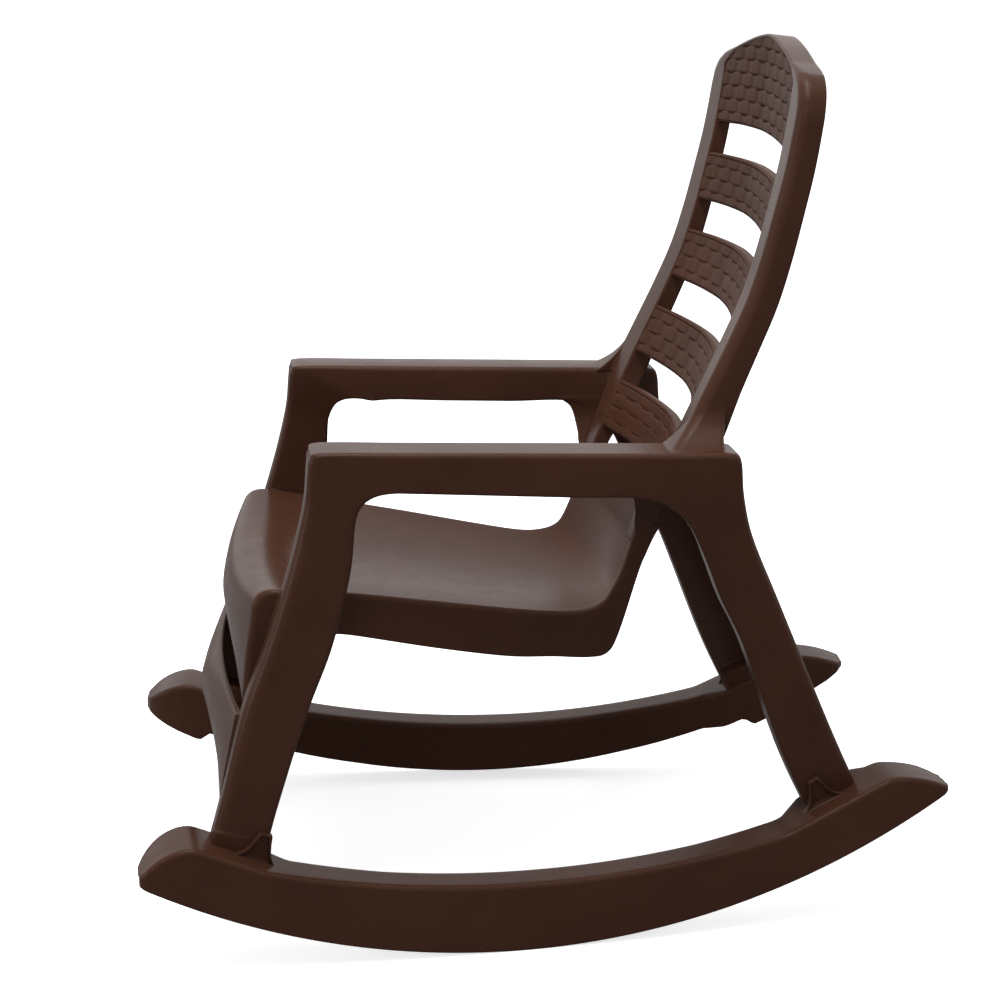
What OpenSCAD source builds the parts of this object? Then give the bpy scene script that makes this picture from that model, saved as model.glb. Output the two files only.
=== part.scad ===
// Plastic rocking chair: one moulded shell with seat, back, arms and legs stands in two
// hollow runners, and a screw from below holds each foot in its socket.
// Millimetres, +Z up, the chair faces -Y. The origin is on the floor under the middle of the chair.

/* [Runners] */
// Length of a runner from toe to tail
runner_len = 960; // [950:1:980]
// Radius of the edge that rolls on the floor
runner_radius = 920; // [880:5:980]
// Place of the lowest point, in front of the middle when negative
runner_low_y = -34; // [-50:1:-25]
// Depth of a runner at its lowest point
runner_depth = 82; // [76:1:90]
// Radius of the top edge between the feet
runner_top_radius = 1270; // [1200:10:1400]
// Width of the channel between the feet
runner_w = 46; // [42:1:52]
// Width of the toe in front of the front foot
toe_w = 80; // [78:1:84]
// Width of the runner round a foot
socket_w = 77; // [76:1:78]
// Width of the runner's tail
tail_w = 60; // [56:1:66]
// Height by which the inner side stops short of the outer side between the feet
side_step = 15; // [10:1:20]
// Distance of a runner's outer face from the middle plane, halfway along
half_track = 299.6; // [292:0.1:306]
// Angle by which each runner turns inwards at the back
toe_in = 4.3; // [3.5:0.1:5]
// Wall of a runner
runner_wall = 4; // [3.5:0.1:4.5]

/* [Feet and sockets] */
// Place of the front foot along the runner
front_foot_y = -367; // [-370:1:-362]
// Place of the rear foot along the runner
rear_foot_y = 344; // [338:1:348]
// Lean of the front foot
front_lean = 15.6; // [14:0.1:17]
// Lean of the rear foot
rear_lean = 25; // [23:0.5:27]
// Ledge between the runner's outer face and the leg
foot_ledge = 36; // [35:0.5:37]
// Width of a foot across the chair
foot_w = 35; // [33:0.5:35]
// Length of a foot along the runner
foot_l = 62; // [58:1:64]
// Depth that a foot goes into its socket
foot_depth = 42; // [36:1:46]
// Gap all round between a foot and its socket
foot_gap = 0.3; // [0.2:0.05:0.5]
// Height of the locking lug over the runner
lug_h = 34; // [28:1:40]
// Length of the lug's base
lug_l = 50; // [44:1:56]
// Length of the lug's top edge
lug_top_l = 15; // [12:1:20]
// Thickness of the lug
lug_t = 9; // [8:0.5:11]

/* [Screws] */
// Radius of the screw shank
screw_r = 2.1; // [1.9:0.1:2.4]
// Length of the screw shank
screw_len = 22; // [18:1:26]
// Radius of the pan head
head_r = 4.6; // [4.2:0.1:5.2]
// Height of the pan head
head_h = 2.8; // [2.4:0.1:3.2]

/* [Arms and legs] */
// Height of the arm at its front end
arm_z = 598; // [585:1:610]
// Drop of the arm from front to back
arm_drop = 16; // [10:1:20]
// Front end of the arm
arm_front_y = -277; // [-285:1:-270]
// Rear end of the arm
arm_rear_y = 214; // [208:1:220]
// Distance of the arm's outer face from the middle plane
arm_x = 290; // [284:1:296]
// Width of the arm's top
arm_w = 65; // [62:1:72]
// Depth of the arm's outer side
arm_depth = 46; // [42:1:50]
// Width of a leg seen from the side
leg_w = 70; // [66:1:74]
// Width of the front leg across the chair
front_leg_t = 47; // [46:1:50]
// Width of the rear leg across the chair
rear_leg_t = 40; // [36:1:44]
// Wall of the moulded shell
shell_wall = 4; // [3.6:0.1:4.4]
// Wall of the stiles, slats and top panel
back_wall = 3.2; // [2.8:0.1:4]
// Radius of the rounded edges
edge_r = 9; // [7:0.5:11]

/* [Seat] */
// Height of the seat's front corners
seat_z = 432; // [424:1:440]
// Place of the seat's front corners
seat_front_y = -341; // [-346:1:-336]
// Half the seat's width at its front corners
seat_half_w = 246; // [245:0.5:248]
// Half the seat's width at its back
seat_back_half_w = 190; // [184:1:196]
// Drop of the seat's edge from front to back
seat_drop = 54; // [48:1:60]
// Depth of the dish in the middle
seat_dish = 26; // [18:1:32]
// Forward bow of the seat's front edge in the middle
seat_bow = 30; // [26:1:34]
// Depth of the side skirt at its deepest
skirt_h = 69; // [62:1:74]

/* [Back] */
// Height of the crown
back_z = 1034; // [1015:1:1050]
// Half the width of the back
back_half_w = 238; // [234:1:242]
// Width of a stile seen from the front
stile_w = 60; // [54:1:64]
// Rearward bow of the slats at the arms
back_bow = 34; // [26:1:40]
// Bow that is left at the crown
crown_bow = 20; // [14:1:26]
// Number of slats between the top panel and the lower back
slat_count = 4; // [3:1:4]
// Height of a slat
slat_h = 60; // [54:1:62]
// Height of a gap between two slats
slat_gap = 38; // [36:1:42]
// Rise of a slat's edges in the middle
slat_arch = 7; // [4:1:10]
// Depth of the slats behind the faces of the stiles
slat_recess = 3; // [2:0.5:4]
// Lower edge of the top panel
top_panel_z = 914; // [906:1:920]
// Height of the crown over the shoulders
crown_h = 31; // [26:1:36]

/* [Front brace] */
// Height of the brace's top edge
brace_z = 287; // [280:1:292]
// Depth of the brace in the middle
brace_h = 60; // [52:1:68]
// Forward bow of the brace
brace_bow = 20; // [14:1:26]
// Drop of the brace's lower edge at the legs
brace_drop = 72; // [64:1:76]

/* [Hidden] */
brown = "#3f2a24";
steel = "silver";
tiny = 0.01;

// Curves through chosen points
function mix(a, b, t) = a + (b - a) * t;
function knot(p, i) = p[max(0, min(len(p) - 1, i))];
function curve_at(p, i, t) =
  let (a = knot(p, i - 1), b = knot(p, i), c = knot(p, i + 1), d = knot(p, i + 2))
  0.5 * (2 * b + (c - a) * t + (2 * a - 5 * b + 4 * c - d) * t * t + (3 * b - a - 3 * c + d) * t * t * t);
function smooth_path(p, n) = [
  for (i = [0 : len(p) - 2]) for (k = [0 : n - 1]) curve_at(p, i, k / n),
  p[len(p) - 1]
];
// Value of a curve of [place, value] knots whose places rise
function at_place(p, z) =
  let (i = max([for (k = [0 : len(p) - 2]) if (k == 0 || p[k][0] <= z) k]))
  let (t = (z - p[i][0]) / (p[i + 1][0] - p[i][0]))
  curve_at(p, i, t)[1];

// Closed solid through rings of equal length. caps lists the flat pieces of an end face.
module loft(rings, caps) {
  n = len(rings[0]);
  m = len(rings);
  sides = [
    for (i = [0 : m - 2]) for (j = [0 : n - 1])
      for (f = [
        [i * n + j, i * n + (j + 1) % n, (i + 1) * n + j],
        [i * n + (j + 1) % n, (i + 1) * n + (j + 1) % n, (i + 1) * n + j]
      ]) f
  ];
  first = [for (c = caps) [for (k = [len(c) - 1 : -1 : 0]) c[k]]];
  last = [for (c = caps) [for (k = c) (m - 1) * n + k]];
  polyhedron([for (r = rings) for (q = r) q], concat(sides, first, last), convexity = 10);
}

module both_sides() {
  children();
  mirror([1, 0, 0]) children();
}

// Runner outline, seen from the side: [place along the runner, height]
toe_y = -runner_len / 2;
tail_y = runner_len / 2;
function bottom_z(y) = runner_radius - sqrt(pow(runner_radius, 2) - pow(y - runner_low_y, 2));
top_low_y = runner_low_y + 14;
function arc_top_z(y) = runner_depth + runner_top_radius
  - sqrt(pow(runner_top_radius, 2) - pow(y - top_low_y, 2));
toe_crest_y = front_foot_y - 51;
toe_crest_z = bottom_z(toe_crest_y) + 73;
front_ramp_y = front_foot_y + 29;
tail_crest_y = rear_foot_y + 62;
tail_crest_z = bottom_z(tail_crest_y) + 66;
rear_ramp_y = rear_foot_y - 64;
toe_tip_h = 10;
tail_tip_h = 5;
toe_tip_z = bottom_z(toe_y) + toe_tip_h;
toe_arc_r = (pow(toe_crest_y - toe_y, 2) + pow(toe_crest_z - toe_tip_z, 2)) / 2 / (toe_crest_z - toe_tip_z);
function ramp_z(y, y0, y1, z1) = mix(arc_top_z(y0), z1, (y - y0) / (y1 - y0));
function top_z(y) =
  y < toe_crest_y ? toe_crest_z - toe_arc_r + sqrt(pow(toe_arc_r, 2) - pow(toe_crest_y - y, 2)) :
  y < front_ramp_y ? ramp_z(y, front_ramp_y, toe_crest_y, toe_crest_z) :
  y < rear_ramp_y ? arc_top_z(y) :
  y < tail_crest_y ? ramp_z(y, rear_ramp_y, tail_crest_y, tail_crest_z) :
  mix(tail_crest_z, bottom_z(tail_y) + tail_tip_h, pow((y - tail_crest_y) / (tail_y - tail_crest_y), 2.2));
function runner_outline(inset) = concat(
  [for (k = [0 : 36]) let (y = mix(toe_y + inset, tail_y - inset, k / 36))
    [y, bottom_z(y) + (inset > 0 ? -inset : 0)]],
  [for (k = [0 : 5]) let (y = mix(tail_y - inset, tail_crest_y, k / 5)) [y, top_z(y) - inset]],
  [for (k = [0 : 19]) let (y = mix(rear_ramp_y, front_ramp_y, k / 19)) [y, top_z(y) - inset]],
  [for (k = [0 : 9]) let (y = mix(toe_crest_y, toe_y + inset, k / 9)) [y, top_z(y) - inset]]
);
// Width at places along the runner
blend = 14;
end_round = 9;
width_knots = [
  [toe_y, 0.5 * toe_w],
  [toe_y + 5, 0.68 * toe_w],
  [toe_y + 14, 0.83 * toe_w],
  [toe_y + 28, 0.94 * toe_w],
  [toe_y + 46, toe_w],
  [front_foot_y - 26, toe_w],
  [front_foot_y - 12, socket_w],
  [front_foot_y + 30, socket_w],
  [front_foot_y + 30 + 2 * blend, runner_w + 7],
  [front_foot_y + 170, runner_w],
  [rear_foot_y - 170, runner_w],
  [rear_foot_y - 30 - 2 * blend, runner_w + 7],
  [rear_foot_y - 30, socket_w],
  [rear_foot_y + 36, socket_w],
  [rear_foot_y + 36 + blend, tail_w + 4],
  [tail_y - 22, tail_w],
  [tail_y - 8, 0.88 * tail_w],
  [tail_y, 0.68 * tail_w]
];
function plan_outline(inset) = concat(
  [[-end_round, toe_y + inset], [-inset - 2, toe_y + end_round / 3 + inset], [-inset, toe_y + end_round + inset]],
  [[-inset, tail_y - end_round - inset], [-inset - 2, tail_y - end_round / 3 - inset],
    [-end_round, tail_y - inset]],
  [for (k = [len(width_knots) - 1 : -1 : 0]) let (q = width_knots[k])
    [-q[1] + inset, max(toe_y + inset, min(tail_y - inset, q[0]))]]
);

// Where a runner stands. Its outer face is the local plane X = 0 and its width runs to -X.
runner_shift_y = (end_round + toe_w / 2) / 2 * sin(toe_in);
module at_runner() {
  translate([half_track, runner_shift_y, 0])
    rotate([0, 0, toe_in])
      children();
}
function runner_point(x, y, z) = [
  half_track + x * cos(toe_in) - y * sin(toe_in),
  runner_shift_y + x * sin(toe_in) + y * cos(toe_in),
  z
];

// A foot's own frame: the origin is on the runner's top, and +Z runs up the foot, which
// leans forwards where lean is positive
foot_x = -foot_ledge - foot_w / 2;
module at_foot(y, lean) {
  translate([foot_x, y, top_z(y)])
    rotate([lean, 0, 0])
      children();
}
module foot_section(grow) {
  r = edge_r - 3;
  w = foot_w / 2 - r;
  l = foot_l / 2 - r;
  for (a = [-w, w], b = [-l, l])
    translate([a, b])
      circle(r + grow, $fn = 20);
  square([foot_w + 2 * grow, foot_l - 2 * r], center = true);
  square([foot_w - 2 * r, foot_l + 2 * grow], center = true);
}
socket_floor = runner_wall;
pilot_gap = 0.25;

// Side outline and plan outline together give the runner's body
module runner_side(w, inset) {
  translate([-w, 0, 0])
    rotate([90, 0, 90])
      linear_extrude(w + 1)
        polygon(runner_outline(inset));
}
module runner_body(inset) {
  intersection() {
    runner_side(toe_w + 1, inset);
    translate([0, 0, -50])
      linear_extrude(400)
        polygon(plan_outline(inset));
  }
}

// The inner side stops short between the feet
step_front_y = front_foot_y - 40;
step_rear_y = rear_foot_y + 10;
module side_step_cut() {
  translate([-toe_w - 2, 0, 0])
    rotate([90, 0, 90])
      linear_extrude(toe_w - runner_wall - 4)
        polygon(concat(
          [for (k = [0 : 12]) let (y = mix(step_front_y, step_rear_y, k / 12)) [y, bottom_z(y) + side_step]],
          [for (k = [12 : -1 : 0]) let (y = mix(step_front_y, step_rear_y, k / 12)) [y, bottom_z(y) - 20]]
        ));
}

// Solid round a socket, cut to the runner's own outline
module socket_block(y, lean) {
  intersection() {
    runner_body(0);
    at_foot(y, lean)
      translate([0, 0, -foot_depth - foot_gap - socket_floor])
        linear_extrude(foot_depth + 60)
          square([foot_w + 2 * runner_wall, foot_l + 2 * runner_wall + 2 * foot_gap], center = true);
  }
}

module socket_hole(y, lean) {
  at_foot(y, lean) {
    translate([0, 0, -foot_depth - foot_gap])
      linear_extrude(foot_depth + 60)
        foot_section(foot_gap);
    translate([0, 0, -foot_depth - 12])
      cylinder(r = screw_r + 0.4, h = 14, $fn = 48);
  }
}

// Lug that stands on the runner beside the leg
lug_recess = 5;
lug_rim = 3.5;
lug_foot = 12;
function lug_outline(rim) = [
  [-lug_l / 2 + rim, -lug_foot],
  [lug_l / 2 - rim, -lug_foot],
  [lug_l / 2 - rim, 0],
  [lug_l / 2 * 0.66 - rim, lug_h * 0.22],
  [lug_l / 2 * 0.44 - rim, lug_h * 0.6],
  [lug_top_l / 2 - rim, lug_h - rim],
  [-lug_top_l / 2 + rim, lug_h - rim],
  [-lug_l / 2 * 0.44 + rim, lug_h * 0.6],
  [-lug_l / 2 * 0.66 + rim, lug_h * 0.22],
  [-lug_l / 2 + rim, 0]
];
module lug(y) {
  slope = atan((top_z(y + 4) - top_z(y - 4)) / 8);
  translate([-foot_ledge + foot_gap, y, top_z(y)])
    rotate([slope, 0, 0])
      rotate([90, 0, 90])
        difference() {
          linear_extrude(lug_t)
            polygon(lug_outline(0));
          translate([0, 0, lug_t - lug_recess])
            linear_extrude(lug_recess + 1)
              polygon([for (q = lug_outline(lug_rim)) [q[0], max(q[1], 1.5)]]);
        }
}
front_lug_y = front_foot_y + 20;
rear_lug_y = rear_foot_y - 12;

module runner() {
  color(brown)
    at_runner()
      difference() {
        union() {
          difference() {
            runner_body(0);
            runner_body(runner_wall);
          }
          socket_block(front_foot_y, -front_lean);
          socket_block(rear_foot_y, rear_lean);
          lug(front_lug_y);
          lug(rear_lug_y);
        }
        socket_hole(front_foot_y, -front_lean);
        socket_hole(rear_foot_y, rear_lean);
        side_step_cut();
      }
}

// Screw whose head bears on the underside of a socket's floor
module foot_screw(y, lean) {
  color(steel)
    at_runner()
      at_foot(y, lean)
        translate([0, 0, -foot_depth - foot_gap - socket_floor]) {
          translate([0, 0, -head_h])
            cylinder(r = head_r, h = head_h, $fn = 48);
          translate([0, 0, -tiny])
            cylinder(r = screw_r, h = screw_len + tiny, $fn = 48);
        }
}

// Side frame: one channel runs up the front leg, along the arm and down the rear leg
front_foot = runner_point(-foot_ledge, front_foot_y, top_z(front_foot_y));
rear_foot = runner_point(-foot_ledge, rear_foot_y, top_z(rear_foot_y));
arm_slope = -arm_drop / (arm_rear_y - arm_front_y);
function arm_top_z(y) = arm_z + arm_slope * (y - arm_front_y - 27);
function foot_pair(p, lean, side, up, w) = let (
  c = [p[1] - sin(lean) * up, p[2] + cos(lean) * up],
  n = [cos(lean), sin(lean)] * w / 2 * side
) [c - n, c + n];
// Each row: outer edge, inner edge, depth of the outer flange, depth of the inner flange
arm_lip = 12;
front_leg_rows = [
  concat(foot_pair(front_foot, -front_lean, 1, 3, foot_l + 4), [foot_w + 1, foot_w + 1]),
  concat(foot_pair(front_foot, -front_lean, 1, 60, leg_w - 6), [front_leg_t - 5, front_leg_t - 5]),
  [[-356, 300], [-284, 294], front_leg_t, front_leg_t],
  [[-327, 378], [-254, 372], front_leg_t, front_leg_t],
  [[-300, 462], [-232, 456], front_leg_t, front_leg_t],
  [[arm_front_y - 5, arm_z - 66], [arm_front_y + 52, arm_z - 82], front_leg_t, arm_lip + 6],
  [[arm_front_y, arm_z - 24], [arm_front_y + 60, arm_z - 61], front_leg_t + 10, arm_lip],
  [[arm_front_y + 3, arm_z - 7], [arm_front_y + 74, arm_z - 49], arm_w - 3, arm_lip],
  [[arm_front_y + 15, arm_z], [arm_front_y + 94, arm_z - arm_depth + 1], arm_w, arm_lip]
];
arm_rows = [
  for (k = [0 : 3])
    let (y = mix(arm_front_y + 110, arm_rear_y - 122, k / 3))
    [[y - 10, arm_top_z(y - 10)], [y + 12, arm_top_z(y) - arm_depth - 1 - 2 * k], arm_w, arm_lip]
];
rear_leg_rows = [
  [[arm_rear_y - 50, arm_top_z(arm_rear_y - 50)], [arm_rear_y - 74, arm_top_z(0) - 74], arm_w, arm_lip],
  [[arm_rear_y - 14, arm_top_z(arm_rear_y - 14)], [arm_rear_y - 60, arm_top_z(0) - 90], arm_w, arm_lip],
  [[arm_rear_y - 1, arm_top_z(arm_rear_y) - 8], [arm_rear_y - 51, arm_top_z(0) - 107], arm_w - 6, arm_lip],
  [[arm_rear_y + 5, arm_top_z(arm_rear_y) - 52], [arm_rear_y - 37, arm_top_z(0) - 138], rear_leg_t + 6, 30],
  [[arm_rear_y + 18, 480], [arm_rear_y - 18, 405], rear_leg_t, 34],
  [[arm_rear_y + 52, 401], [arm_rear_y + 12, 344], rear_leg_t, 36],
  concat(foot_pair(rear_foot, rear_lean, -1, 84, leg_w - 4), [rear_leg_t - 2, rear_leg_t - 2]),
  concat(foot_pair(rear_foot, rear_lean, -1, 4, foot_l + 6), [foot_w + 1, foot_w + 1])
];
// A row of numbers: outer y, z, inner y, z, outer flange, inner flange
function flat(r) = [r[0][0], r[0][1], r[1][0], r[1][1], r[2], r[3]];
side_rows = smooth_path([for (r = concat(front_leg_rows, arm_rows, rear_leg_rows)) flat(r)], 2);
// The legs lean sideways so that each foot meets its own socket
function side_x(y, z) = let (
  foot = y < 0 ? front_foot : rear_foot,
  t = max(0, min(1, (arm_z - 40 - z) / (arm_z - 40 - foot[2])))
) mix(arm_x, foot[0], t);
function side_ring(r) = let (
  o = [r[0], r[1]],
  i = [r[2], r[3]],
  w = norm(i - o),
  e = (i - o) / w,
  t = shell_wall,
  c = edge_r * 0.3,
  x = side_x((r[0] + r[2]) / 2, (r[1] + r[3]) / 2)
) [
  for (q = [
    [0, r[4]], [0, edge_r], [c, c], [edge_r, 0],
    [w - edge_r, 0], [w - c, c], [w, edge_r], [w, r[5]],
    [w - t, r[5]], [w - t, t], [t, t], [t, r[4]]
  ]) [x - q[1], o[0] + e[0] * q[0], o[1] + e[1] * q[0]]
];
channel_caps = [[0, 1, 10, 11], [1, 2, 3, 10], [3, 4, 9, 10], [4, 5, 6, 9], [6, 7, 8, 9]];

module side_frame() {
  loft([for (k = [len(side_rows) - 1 : -1 : 0]) side_ring(side_rows[k])], channel_caps);
}

// Foot: a hollow plug with a boss for the screw
module foot_plug(y, lean) {
  at_runner()
    at_foot(y, lean)
      difference() {
        translate([0, 0, -foot_depth])
          linear_extrude(foot_depth + 26)
            foot_section(0);
        difference() {
          translate([0, 0, -foot_depth + shell_wall])
            linear_extrude(foot_depth + 60)
              foot_section(-shell_wall);
          translate([0, 0, -foot_depth])
            cylinder(r = screw_r + 4.5, h = screw_len + 4, $fn = 24);
          translate([-foot_w / 2, -shell_wall / 2, -foot_depth])
            cube([foot_w, shell_wall, screw_len + 4]);
        }
        translate([0, 0, -foot_depth - 1])
          cylinder(r = screw_r + pilot_gap, h = screw_len + 1, $fn = 24);
      }
}

// Inner side of the arm, which is open below
inner_side_rows = [
  [arm_front_y + 6, arm_z - 20, arm_z - 66],
  [arm_front_y + 16, arm_z - 7, arm_z - 60],
  [arm_front_y + 34, arm_top_z(arm_front_y + 34) - 2, arm_z - 54],
  for (k = [0 : 4]) let (y = mix(arm_front_y + 80, 110, k / 4))
    [y, arm_top_z(y) - 2, arm_top_z(y) - arm_depth - k],
  [134, arm_top_z(134) - 2, arm_top_z(134) - arm_depth - 10],
  [156, arm_top_z(156) - 2, arm_top_z(156) - arm_depth - 22]
];
module arm_inner_side() {
  x = arm_x - arm_w;
  loft(
    [for (r = inner_side_rows) [
      [x + 0.6, r[0], r[1]],
      [x + 0.6, r[0], r[2]],
      [x + shell_wall + 0.6, r[0], r[2]],
      [x + shell_wall + 0.6, r[0], r[1]]
    ]],
    [[0, 1, 2, 3]]
  );
}

// Cross ribs stiffen the hollow underside of the arms
module arm_rib(y) {
  x = arm_x - arm_w + 2;
  top = arm_top_z(y) - shell_wall / 2;
  hull() {
    translate([x, y, top - 14])
      sphere(1.5, $fn = 6);
    translate([x, y, top - 1])
      sphere(1.5, $fn = 6);
    translate([arm_x - 2, y, top - 1])
      sphere(1.5, $fn = 6);
    translate([arm_x - 2, y, top - arm_depth + 10])
      sphere(1.5, $fn = 6);
  }
}

// Back: everything on it is laid out on a curved surface by x, height and depth
back_line = [
  [380, 78], [440, 95], [500, 113], [560, 138], [600, 157], [650, 181], [700, 205], [750, 227],
  [800, 243], [850, 256], [900, 268], [950, 277], [1000, 284], [1080, 292]
];
function back_lean(z) = atan((at_place(back_line, z + 5) - at_place(back_line, z - 5)) / 10);
half_w_line = [
  [380, seat_back_half_w], [440, seat_back_half_w + 6], [490, seat_back_half_w + 16],
  [550, back_half_w - 16], [600, back_half_w], [700, back_half_w], [940, back_half_w], [1100, back_half_w]
];
wall_line = [
  [380, 22], [440, 22], [490, 27], [540, 37], [600, 44], [660, 38], [720, 34], [820, 31], [940, 28], [1100, 26]
];
function half_w(z) = at_place(half_w_line, z);
function bow_at(z) = mix(back_bow, crown_bow, max(0, min(1, (z - arm_z) / (back_z - arm_z))));
face_slope = 0.04;
function back_point(x, z, d) = let (
  w = half_w(z),
  k = d + bow_at(z) * max(0, 1 - pow(x / (w - stile_w * 0.7), 2)) + face_slope * (w - abs(x)),
  a = back_lean(z)
) [x, at_place(back_line, z) + cos(a) * k, z - sin(a) * k];

// Seat and lower back: one curved sheet
seat_rear_z = seat_z - seat_drop;
seat_end_z = 490;
// Each row: half width, edge y, edge z, middle y, middle z, skirt end y, skirt end z
front_rows = [
  [seat_half_w - 8, seat_front_y - 17, brace_z + 8, seat_front_y - seat_bow + 12, brace_z + 40,
    seat_front_y - 10, brace_z + 6],
  [seat_half_w - 4, seat_front_y - 9, seat_z - 85, seat_front_y - seat_bow + 1, seat_z - 84,
    seat_front_y + 14, seat_z - 104],
  [seat_half_w - 1, seat_front_y - 1, seat_z - 34, seat_front_y - seat_bow - 1, seat_z - 60,
    seat_front_y + 40, seat_z - 88],
  [seat_half_w, seat_front_y + 2, seat_z - 14, seat_front_y - seat_bow + 6, seat_z - 34,
    seat_front_y + 52, seat_z - 76],
  [seat_half_w, seat_front_y + 11, seat_z - 3, seat_front_y - seat_bow + 17, seat_z - 19,
    seat_front_y + 62, seat_z - 68],
  [seat_half_w, seat_front_y + 28, seat_z, seat_front_y + 6, seat_z - 12,
    seat_front_y + 72, seat_z - 60],
  [seat_half_w - 5, seat_front_y + 60, seat_z - 4, seat_front_y + 40, seat_z - 17,
    seat_front_y + 88, seat_z - 58],
  [seat_half_w - 16, seat_front_y + 111, seat_z - 11, seat_front_y + 92, seat_z - seat_dish - 8,
    seat_front_y + 111, seat_z - 62],
  [seat_half_w - 28, seat_front_y + 211, seat_z - 28, seat_front_y + 202, seat_z - seat_dish - 28,
    seat_front_y + 209, seat_z - 85],
  [seat_half_w - 41, seat_front_y + 301, seat_z - 44, seat_front_y + 301, seat_z - seat_dish - 45,
    seat_front_y + 296, seat_z - 103],
  [seat_back_half_w + 5, 20, seat_rear_z + 1, 22, seat_rear_z - seat_dish + 2, 12, seat_rear_z - skirt_h + 14],
  [seat_back_half_w + 1, 50, seat_rear_z + 2, 62, seat_rear_z - seat_dish + 2, 52, seat_rear_z - skirt_h + 10],
  [seat_back_half_w, 69, seat_rear_z + 9, 92, seat_rear_z - seat_dish + 11, 76, seat_rear_z - skirt_h + 14],
  [seat_back_half_w, 79, seat_rear_z + 22, 109, seat_rear_z - 1, 90, seat_rear_z - skirt_h + 38]
];
function back_row(z) = let (
  w = half_w(z),
  p = back_point(w, z, 0),
  m = back_point(0, z, 0),
  q = back_point(w, z, at_place(wall_line, z))
) [w, p[1], p[2], m[1], m[2], q[1], q[2]];
seat_rows = concat(front_rows, [for (z = [428, 449, 470, seat_end_z]) back_row(z)]);
seat_path = smooth_path(seat_rows, 2);
across = 10;
function sheet_point(r, x) = let (t = x / r[0])
  [x, mix(r[3], r[1], t * t), mix(r[4], r[2], t * t)];
function sheet_normal(path, i, x) = let (
  a = sheet_point(path[max(0, i - 1)], x),
  b = sheet_point(path[min(len(path) - 1, i + 1)], x),
  d = [b[1] - a[1], b[2] - a[2]]
) [0, d[1], -d[0]] / norm(d);
// Section across the seat: right skirt, sheet and left skirt, then back along the underside
edge_c = 5;
function skirt_point(r, x) = let (d = [r[5] - r[1], r[6] - r[2]]) [x, r[1], r[2]] + edge_c * [0, d[0], d[1]] / norm(d);
function seat_ring(path, i) = let (r = path[i], w = r[0] - shell_wall, c = r[0] - edge_c) concat(
  [[r[0], r[5], r[6]], skirt_point(r, r[0])],
  [for (j = [0 : across]) sheet_point(r, c * (1 - 2 * j / across))],
  [skirt_point(r, -r[0]), [-r[0], r[5], r[6]], [-w, r[5], r[6]]],
  [for (j = [across : -1 : 0]) let (x = w * (1 - 2 * j / across))
    sheet_point(r, x) + shell_wall * sheet_normal(path, i, x)],
  [[w, r[5], r[6]]]
);
seat_caps = concat(
  [[0, 1, 2 * across + 6, 2 * across + 7], [1, 2, 2 * across + 5, 2 * across + 6]],
  [for (k = [2 : across]) [k, k + 1, 2 * across + 6 - k, 2 * across + 7 - k]],
  [[across + 1, across + 2, across + 5, across + 6], [across + 2, across + 3, across + 4, across + 5]]
);

module seat_sheet() {
  loft([for (i = [0 : len(seat_path) - 1]) seat_ring(seat_path, i)], seat_caps);
}

// Return flange along the top of the lower back
module lower_back_flange() {
  r = seat_path[len(seat_path) - 1];
  loft(
    [for (j = [0 : across]) let (q = sheet_point(r, (r[0] - 2) * (1 - 2 * j / across))) [
      q + [0, 0.5, 0],
      q + [0, 4, -shell_wall],
      q + [0, 16, -shell_wall - 4],
      q + [0, 16, -4]
    ]],
    [[0, 1, 2, 3]]
  );
}

// Front brace: a bowed web with an arched lower edge ties the front legs
brace_half = arm_x - front_leg_t + 8;
brace_end_y = -357;
brace_flange = 15;
function brace_ring(x) = let (
  t = pow(x / brace_half, 2),
  y = brace_end_y - brace_bow * (1 - t),
  z = brace_z - brace_h - brace_drop * pow(abs(x / brace_half), 2.4),
  f = y - (brace_z - z) * tan(front_lean + 5 * (1 - t))
) [
  [x, y, brace_z],
  [x, f, z],
  [x, f + shell_wall, z],
  [x, y + shell_wall, brace_z - shell_wall],
  [x, y + brace_flange, brace_z - shell_wall],
  [x, y + brace_flange, brace_z]
];
module front_brace() {
  loft(
    [for (k = [6 : -1 : -6]) brace_ring(brace_half * k / 6)],
    [[0, 1, 2, 3], [0, 3, 4, 5]]
  );
}

// Frame of the back: stiles, shoulders and crown
shoulder_z = back_z - crown_h;
stile_top_z = shoulder_z - 52;
frame_low_z = seat_end_z + 3;
sink = 2.4;
function stile_in(z) = half_w(z) - stile_w + max(0, (600 - z) / 8);
stile_rows = concat(
  [for (z = [seat_end_z - 24, seat_end_z - 3]) [[half_w(z) - sink, z], [stile_in(z) - 3, z], sink]],
  [for (k = [0 : 11]) let (z = mix(frame_low_z, stile_top_z, k / 11)) [[half_w(z), z], [stile_in(z), z], 0]]
);
inner_x = back_half_w - stile_w;
shoulder_rows = [
  [[back_half_w - 1, shoulder_z - 42], [inner_x, shoulder_z - 46]],
  [[back_half_w - 6, shoulder_z - 26], [inner_x, shoulder_z - 38]],
  [[back_half_w - 16, shoulder_z - 13], [inner_x, shoulder_z - 31]],
  [[back_half_w - 31, shoulder_z - 4], [inner_x, shoulder_z - 23]],
  [[back_half_w - 48, shoulder_z], [inner_x - 2, shoulder_z - 14]]
];
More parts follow.
